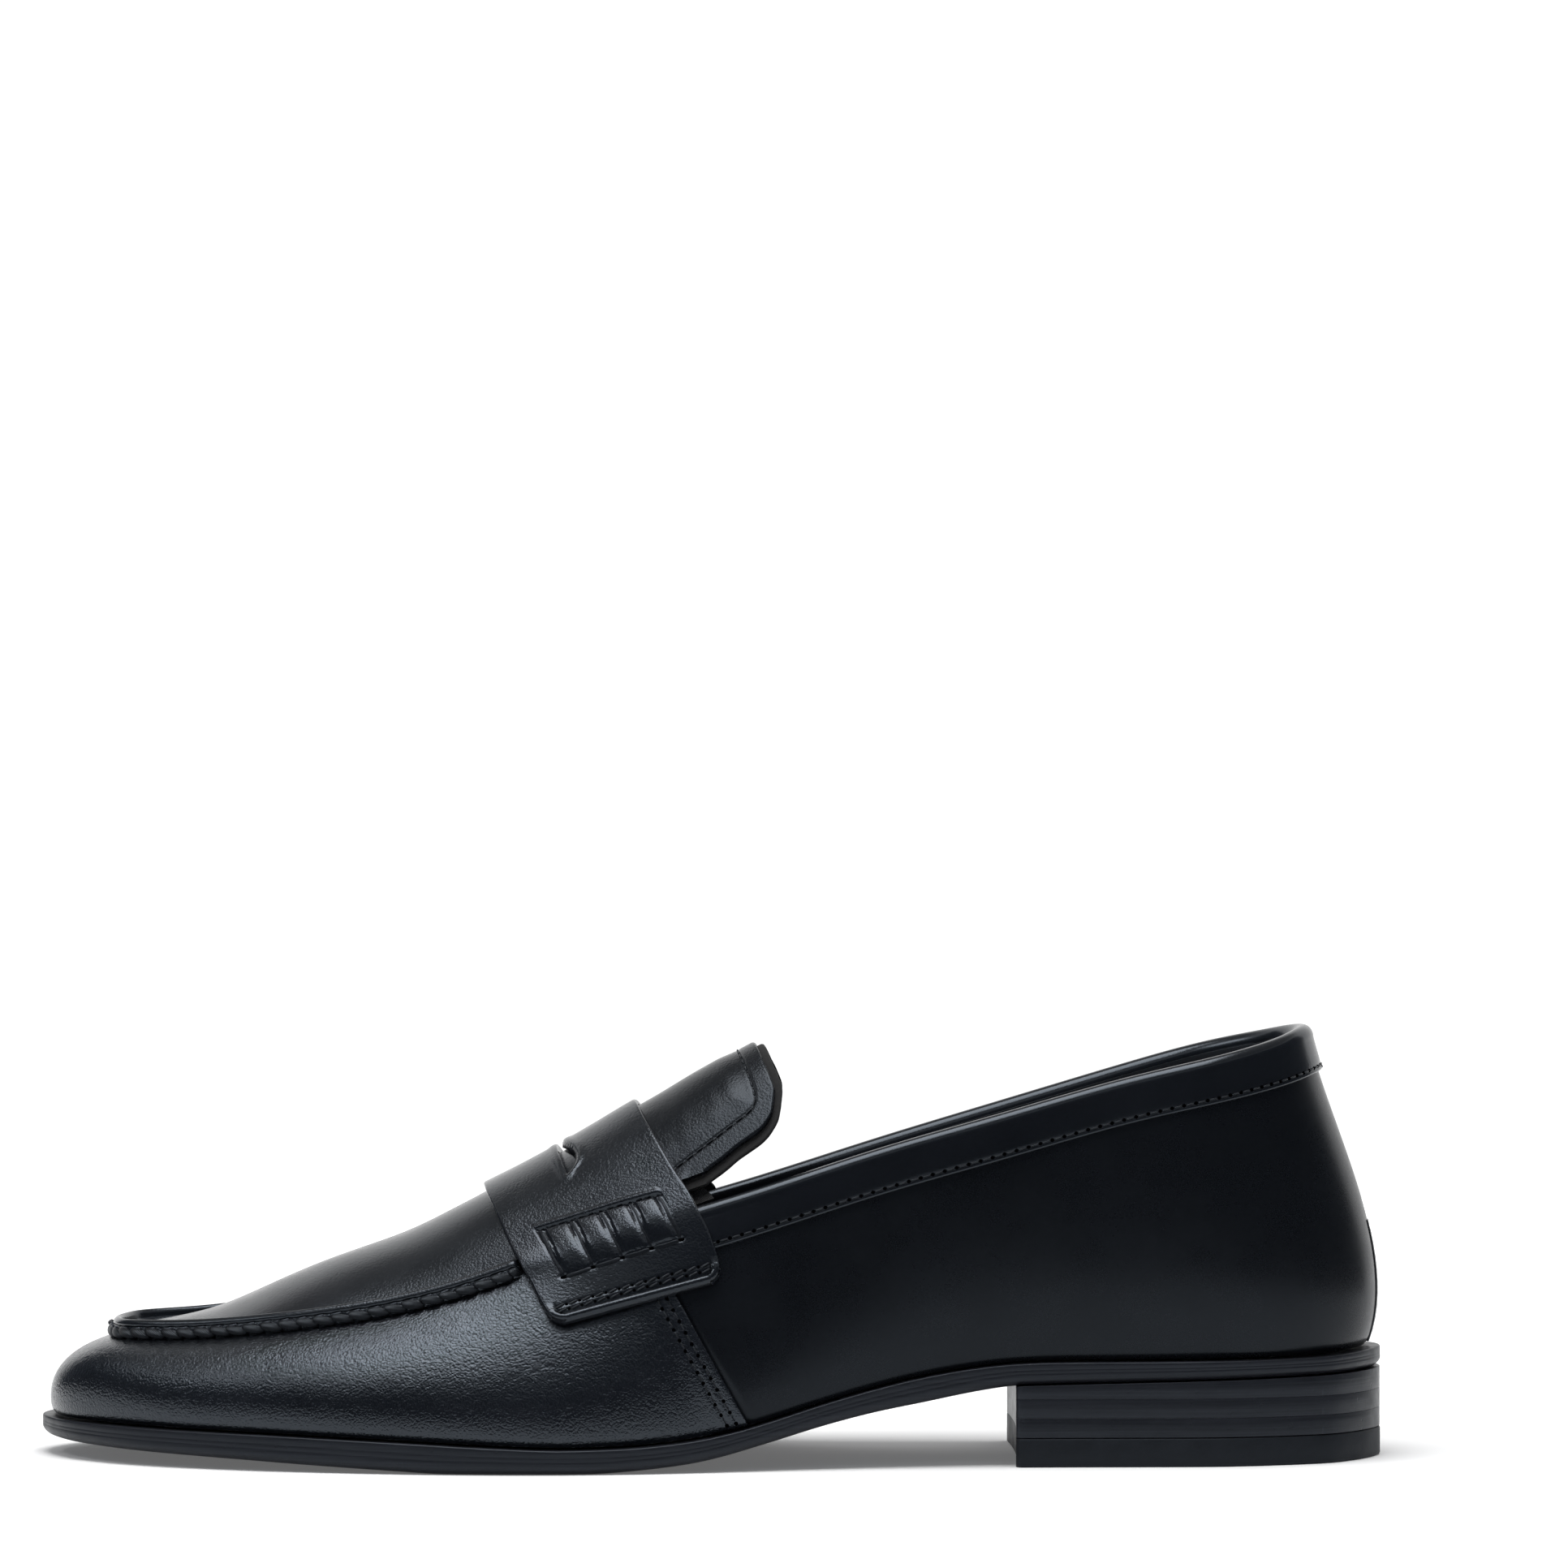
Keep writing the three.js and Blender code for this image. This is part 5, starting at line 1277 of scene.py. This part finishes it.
V, Q4, T3 = outside_out(loft(np.stack([np.concatenate([eye, np.full((len(eye), 1), z)], 1) for z in (50.0, 90.0)])))
me = bpy.data.meshes.new("eye_cut")
me.from_pydata(((V + SHIFT) / 1000).tolist(), [], Q4.tolist() + T3.tolist())
cutter = bpy.data.objects.new("eye_cut", me)
bpy.context.scene.collection.objects.link(cutter)
b = strap.modifiers.new("eye", "BOOLEAN")
b.operation, b.solver, b.object = "DIFFERENCE", "EXACT", cutter
bpy.context.view_layer.objects.active = strap
bpy.ops.object.modifier_apply(modifier=b.name)
bpy.data.objects.remove(cutter)
strap.data.set_sharp_from_angle(angle=math.radians(50))


def on_strap(u, v, side, h):
    """Points on the strap at u mm from its front edge and v mm from its lower end, h above its surface; also the normals."""
    vv = np.asarray(v, float) if side < 0 else cs[-1] - np.asarray(v, float)
    i = np.interp(np.asarray(u, float) / W, u_mm / W, np.arange(len(u_mm)))
    j = np.interp(vv, v_mm, np.arange(len(v_mm)))
    i0, j0 = np.clip(i.astype(int), 0, len(u_mm) - 2), np.clip(j.astype(int), 0, len(v_mm) - 2)
    fi, fj = (i - i0)[..., None], (j - j0)[..., None]
    pick = lambda G: (1 - fi) * (1 - fj) * G[i0, j0] + fi * (1 - fj) * G[i0 + 1, j0] + (1 - fi) * fj * G[i0, j0 + 1] + fi * fj * G[i0 + 1, j0 + 1]
    p, n = pick(B), unit(pick(BN))
    return p + n * (2.05 + np.asarray(h))[..., None], n


def flat_cord(P, N, w, t):
    """A flat lace with rounded edges along P: w wide, t thick."""
    T = unit(np.gradient(P, axis=0))
    U = unit(N - (N * T).sum(-1, keepdims=True) * T)
    Bn = np.cross(T, U)
    a = np.arange(20) * 2 * np.pi / 20
    x, y = np.sign(np.cos(a)) * np.abs(np.cos(a)) ** .6 * w / 2, np.sign(np.sin(a)) * np.abs(np.sin(a)) ** .8 * t / 2
    taper = np.clip(np.minimum(np.arange(len(P)), np.arange(len(P))[::-1]) / 2.5, .35, 1)
    return loft(P[:, None] + Bn[:, None] * (x[None, :, None] * taper[:, None, None]) + U[:, None] * y[None, :, None])


thread_meshes, needle_shade_meshes = [], []
for side, node in ((-1, "strap_lacing_lateral"), (1, "strap_lacing_medial")):
    laces = []
    for i in range(5):
        t = np.linspace(0, 1, 26)
        vt = v_top(BARS_TOP[i]) - 0.05
        v = mix(v_low - 0.25, vt, t)
        u = mix(BARS_LOW[i], BARS_TOP[i], t) * W
        h = -0.14 - 0.55 * np.clip((t - .95) / .05, 0, 1) - 0.75 * np.clip((.05 - t) / .05, 0, 1) + 0.1 * np.sin(np.pi * t)
        P, N = on_strap(u, v, side, h)
        laces.append(flat_cord(P, N, 1.1, 0.5))
    for i in range(4):
        t = np.linspace(0, 1, 20)
        u = mix(BARS_LOW[i], BARS_LOW[i + 1], t) * W
        v = v_low - 0.35 + 0 * t - 0.5 * np.sin(np.pi * t) * 0.3
        h = 0.05 - 0.8 * np.abs(2 * t - 1) ** 6
        P, N = on_strap(u, v, side, h)
        laces.append(flat_cord(P, N, 0.85, 0.5))
    # slits where the laces go through, as black plugs: painted shade
    slit_u = BARS_LOW * W
    P, N = on_strap(slit_u, np.full(5, v_low - 0.35), side, np.full(5, -0.28))
    Pu, _ = on_strap(slit_u + 0.5, np.full(5, v_low - 0.35), side, np.full(5, -0.28))
    T1 = unit(Pu - P)
    tt = np.linspace(-1, 1, 7)
    needle_shade_meshes.append(strands(P[:, None] + T1[:, None] * (tt * 0.95)[None, :, None], np.broadcast_to(N[:, None], (5, 7, 3)), np.broadcast_to(0.42 * np.sqrt(1.03 - tt ** 4), (5, 7)), 10, 0.8))
    piece(node, join(*laces), M["lace_leather"], "strap_leather", nodes=[node], crease=70)
    for row, lean in ((3.0, .25), (4.25, .25)):
        u = np.linspace(.045, .955, 160) * W
        P, N = on_strap(u, np.full(u.shape, row), side, np.full(u.shape, -0.13))
        thread_meshes.append(stitches(P, N, 2.9, 2.15, 0.24, lift=0.75, lean=lean))
        needle_shade_meshes.append(holes(P + N * 0.04, N, 2.9, 0.36))
    for a_end in (.047, .953):
        v = np.linspace(2.9, 4.3, 12)
        P, N = on_strap(np.full(v.shape, a_end * W), v, side, np.full(v.shape, -0.08))
        thread_meshes.append(stitches(P, N, 1.35, 1.2, 0.22, lift=0.5))

# ---------------------------------------------------------------- tongue
tb_k = np.linspace(0, .885, 240)
tb = np.stack([tongue_end(tb_k), tb_k * 31.0], -1)
both = np.concatenate([tb[30:0:-1, 0], tb[:, 0]])
tb[:, 0] = np.where(np.arange(len(tb)) < 16, np.convolve(both, np.ones(25) / 25, "same")[30:], tb[:, 0])


def inset_line(line, d):
    t = unit(np.gradient(line, axis=0))
    return line + np.stack([-np.abs(t[:, 1]) * 0 - t[:, 1], t[:, 0]], -1) * d


# the boundary runs from the crown outwards, so that its inner side is at its right
def tongue_edge(d):
    L = tb.copy()
    t = unit(np.gradient(L, axis=0))
    return L + np.stack([-t[:, 1], t[:, 0]], -1) * d if (-t[0, 1]) < 0 else L + np.stack([t[:, 1], -t[:, 0]], -1) * d


def tongue_sheet(name, inset, d_out, thick, mat, slot_name, decorate):
    L = tongue_edge(inset)
    o = np.argmax(L[:, 1])
    ymax = L[:o + 1, 1].max()
    yk = ymax * np.sin(np.linspace(0, np.pi / 2, 130)) ** .9
    xe = np.interp(yk, np.maximum.accumulate(L[:, 1]), L[:, 0])
    s = np.concatenate([-yk[::-1], yk[1:]]) / 31.0
    xe = np.concatenate([xe[::-1], xe[1:]])
    x0 = np.minimum(strap_rear(np.abs(s)) - 2.6, xe - 0.4)
    t = np.concatenate([np.linspace(0, .8, 60), .8 + .2 * np.sin(np.linspace(0, np.pi / 2, 40))[1:]])
    X = mix(x0[:, None], xe[:, None], t[None, :])
    Sg = np.broadcast_to(s[:, None], X.shape)
    # distance to the free edge, measured on the flat pattern
    E = np.concatenate([np.stack([L[:, 0], -L[:, 1]], -1)[::-1], L])
    E = resample(E, along(E), np.arange(0, along(E)[-1], 0.1))
    pts = np.stack([X, Sg * 31.0], -1).reshape(-1, 2)
    e = np.sqrt(np.concatenate([((c[:, None, :] - E[None]) ** 2).sum(-1).min(1) for c in np.array_split(pts, 24)])).reshape(X.shape)
    d = d_out + decorate(X, Sg, e)
    P, N = top(X, Sg, d), top_n(X, Sg)
    N = N if N[..., 2].mean() > 0 else -N
    under = top(X, Sg, d_out - thick + 0.5 * round_off(e, 0.4))
    return piece(name, plates(P, under, N), mat, slot_name, body="tongue", nodes=[name], crease=75)


STITCH_IN = 3.7
L = tongue_edge(1.5 + STITCH_IN)
L = L[(L[:, 1] >= 0)]
L = np.concatenate([L, L[-1] + unit(L[-1] - L[-6]) * np.linspace(0.3, 12, 40)[:, None]])
past = L[:, 0] < strap_rear(np.minimum(L[:, 1] / 31, .95)) + 0.2
L = L[:np.argmax(past)] if past.any() else L
L = resample(L, along(L), np.linspace(0, along(L)[-1], 260))
row = np.concatenate([np.stack([L[:, 0], -L[:, 1]], -1)[::-1][:-1], L])
soft = np.ones(45) / 45
for _ in range(2):
    mirror = np.concatenate([2 * row[:1] - row[44:0:-1], row, 2 * row[-1:] - row[-2:-46:-1]])
    row = np.stack([np.convolve(mirror[:, k], soft, "same")[44:-44] for k in (0, 1)], -1)
tongue_row = resample(row, along(row), np.linspace(0, along(row)[-1], 500))


def tongue_face(X, S2, e):
    y = S2 * 31
    pts = np.stack([X, S2 * 31.0], -1).reshape(-1, 2)
    off = np.sqrt(np.concatenate([((c[:, None, :] - tongue_row[None]) ** 2).sum(-1).min(1) for c in np.array_split(pts, 24)])).reshape(X.shape)
    d = -round_off(e, 0.45) - 0.22 * bell(off, .35)
    inner = smooth(0.3, 4.5, off) * smooth(STITCH_IN - .6, STITCH_IN + 1.5, e)
    low = smooth(3, 14, np.abs(y))
    w = wobble(y * .55 + X * .35, X * .5 - y * .12, 21)
    w2 = wobble(y * 1.5 + X * .9, X * 1.1 - y * .3, 33)
    return d + inner * (0.34 + low * (0.05 * w + 0.015 * w2))


tongue = tongue_sheet("tongue", 1.5, 0.0, 1.15, M["tongue_leather"], "tongue_leather", tongue_face)
tongue_sheet("tongue_lining", 0.15, -1.25, 0.95, M["tongue_lining"], "tongue_lining", lambda X, S2, e: -round_off(e, .35) )
full = tongue_row
P, N = top(full[:, 0], full[:, 1] / 31.0, -0.14), top_n(full[:, 0], full[:, 1] / 31.0)
N = N if N[:, 2].mean() > 0 else -N
piece("tongue_stitching", join(stitches(P, N, 2.7, 2.0, .19, lift=.7), holes(P, N, 2.7, .26)), M["thread"], "thread", body="tongue", crease=80)

# ---------------------------------------------------------------- elastic gores between the quarters and the tongue
for side, name in ((-1, "gore_lateral"), (1, "gore_medial")):
    a, b = np.linspace(0, 1, 40)[:, None], np.linspace(0, 1, 30)[None, :]
    s = mix(.70, .93, a)
    x0, x1 = strap_rear(s) - 9, strap_rear(s) + mix(0.4, 4.0, smooth(.70, .93, s))
    X = mix(x0, x1, b)
    Sg = side * np.broadcast_to(s, X.shape)
    N = top_n(X, Sg)
    N = N if N[..., 2].mean() > 0 else -N
    o = piece(name, sheet(top(X, Sg, -3.5), 0.75, N), M["gore_elastic"], "gore_elastic", nodes=[name])

# ---------------------------------------------------------------- stitching on the shoe's body
drop_line = lambda drop, d, inner=False: (collar_at(drop, d), wall_n(mix(*collar_ends(drop), col_a), wall_s(mix(*collar_ends(drop), col_a), station(mix(*collar_ends(drop), col_a))[:, 4] - drop)))
P, N = drop_line(7.7, 0.9)
thread_meshes += [stitches(P, N, 2.7, 1.9, .2, lift=.65)]
needle_shade_meshes += [holes(P, N, 2.7, .42)]
P, N = drop_line(4.9, -3.62)
thread_meshes += [stitches(P, -N, 2.7, 2.0, .18, lift=.6)]
for side in (-1, 1):
    f = np.linspace(.03, .92, 160)
    for off in (2.3, 4.3):
        k = seam_k(side, f, -0.3 - off / .93)
        q = side_q(side, k)
        P0 = wall0(q, f)
        keep = P0[:, 2] < 39
        e = off
        d = 0.72 * (1 - smooth(0.3, 10, e)) - .15
        P, N = wall(q, f, d)[keep], wall_n(q, f)[keep]
        thread_meshes += [stitches(P, N, 2.7, 1.9, .18, lift=.3)]
        needle_shade_meshes += [holes(P + N * 0.05, N, 2.7, .44)]
    z = np.linspace(26, 50.3, 60)
    q = HEEL + side * (half_w(z) - 1.5 / 15)
    P, N = wall_line(q, z, 0.14)
    thread_meshes += [stitches(P, N, 2.7, 1.8, .12, lift=.1)]
# small bar of thread that closes the collar seam at the back
th = np.linspace(-1, 1, 9)
q = HEEL + th * 0.09
P, N = wall_line(q, np.full(9, 84.9), 0.8)
thread_meshes.append(strands(P[None], N[None], (0.42 * np.sqrt(1.02 - th ** 6))[None], 8))
piece("stitching", join(*thread_meshes), M["thread"], "thread", crease=80)
# black plugs for the needle holes and lace slits: painted shade
piece("needle_hole_shade", join(*needle_shade_meshes), M["hole"], "thread", crease=80)

# ---------------------------------------------------------------- floor, light and camera
def stage_mesh(name, V, F, material):
    me = bpy.data.meshes.new(name)
    me.from_pydata(V, [], F)
    me.materials.append(material)
    o = bpy.data.objects.new(name, me)
    bpy.context.scene.collection.objects.link(o)
    o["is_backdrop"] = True
    return o


def plain(name, color, rough):
    n = Nodes(name)
    g = n.noise(3.0, 2)
    return n.done(n.blend(g, shade(color, 0.99), shade(color, 1.01)), rough, level=0.0)


FLAG_R, FLAG_H = 0.62, 0.52
n = Nodes("floor_white")
g = n.noise(3.0, 2)
floor_m = n.done(n.blend(g, (0.89, 0.89, 0.89), (0.91, 0.91, 0.91)), 0.9, level=0.0)
# the floor glows, faintly near the shoe and more strongly towards its rim: painted light that keeps it white and lifts
# the shadows on it
n.s.inputs["Emission Color"].default_value = (1, 1, 1, 1)
n.put(n.s.inputs["Emission Strength"], n.fit(n.vec("LENGTH", n.co, (0, 0, 0), 1), 0.25, 0.8, 0.12, 0.75))
fa = np.arange(128) * 2 * np.pi / 128
stage_mesh("floor", [(0.95 * math.cos(x), 0.95 * math.sin(x), 0) for x in fa], [tuple(range(128))], floor_m)
a = np.radians(np.linspace(-140, 118, 97))  # 0 is towards the camera
V = [(FLAG_R * math.sin(t), -FLAG_R * math.cos(t), z) for z in (0.003, FLAG_H) for t in a]
flags = stage_mesh("dark_screen", V, [(i, i + 1, 98 + i, 97 + i) for i in range(96)], plain("screen_black", (0.075, 0.085, 0.10), 0.9))
flags.visible_camera = False

world = bpy.data.worlds.new("studio")
bpy.context.scene.world = world
world.use_nodes = True
wt = world.node_tree
wc, wsep, wmap = wt.nodes.new("ShaderNodeTexCoord"), wt.nodes.new("ShaderNodeSeparateXYZ"), wt.nodes.new("ShaderNodeMapRange")
wmap.interpolation_type = "SMOOTHSTEP"
wt.links.new(wc.outputs["Generated"], wsep.inputs[0])
wt.links.new(wsep.outputs[2], wmap.inputs["Value"])
for key, x in (("From Min", 0.58), ("From Max", 0.76), ("To Min", 1.12), ("To Max", 0.31)):
    wmap.inputs[key].default_value = x
wt.links.new(wmap.outputs[0], wt.nodes["Background"].inputs[1])
wt.nodes["Background"].inputs[0].default_value = (1.0, 1.0, 1.0, 1)


def softbox(name, at, aim, size, power, color=(1, 1, 1)):
    l = bpy.data.lights.new(name, "AREA")
    l.shape, l.size, l.size_y, l.energy, l.color = "RECTANGLE", size[0], size[1], power, color
    o = bpy.data.objects.new(name, l)
    o.location = at
    from_to = np.array(aim) - np.array(at)
    import mathutils
    o.rotation_euler = mathutils.Vector(from_to).to_track_quat("-Z", "Y").to_euler() if abs(from_to[0]) + abs(from_to[1]) > 1e-3 else (0, 0, 0)
    bpy.context.scene.collection.objects.link(o)
    return o


def panel(name, x0, x1, y0, y1, z, radiance, aim=None):
    """Softbox over the rectangle x0..x1, y0..y1 at height z, as bright as radiance."""
    at = ((x0 + x1) / 2, (y0 + y1) / 2, z)
    return softbox(name, at, aim or (at[0], at[1], 0), (x1 - x0, y1 - y0), radiance * math.pi * (x1 - x0) * (y1 - y0))


panel("overhead", -0.41, 0.32, -0.44, 0.19, 0.95, 6.6, aim=(-0.055, -0.055, 0.0))
panel("front_left", -1.35, -0.73, -0.60, -0.18, 0.95, 6.0, aim=(-0.1, 0.0, 0.0))

bpy.context.scene.view_settings.view_transform = "Standard"
cam = bpy.data.cameras.new("camera")
cam.sensor_width, cam.lens = 36.0, 36.0 * 8389 / 1932
cam.clip_start, cam.clip_end = 0.05, 50
camera = bpy.data.objects.new("camera", cam)
camera.location = ((16.3 + SHIFT[0]) / 1000, (-1500 + SHIFT[1]) / 1000, 0.1473)
camera.rotation_euler = (math.pi / 2, 0, 0)
bpy.context.scene.collection.objects.link(camera)
bpy.context.scene.camera = camera

tidy = lambda box: [[float(x) for x in corner] for corner in box]
{"cad": tidy(CAD_BOX), "visual": tidy(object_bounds())}
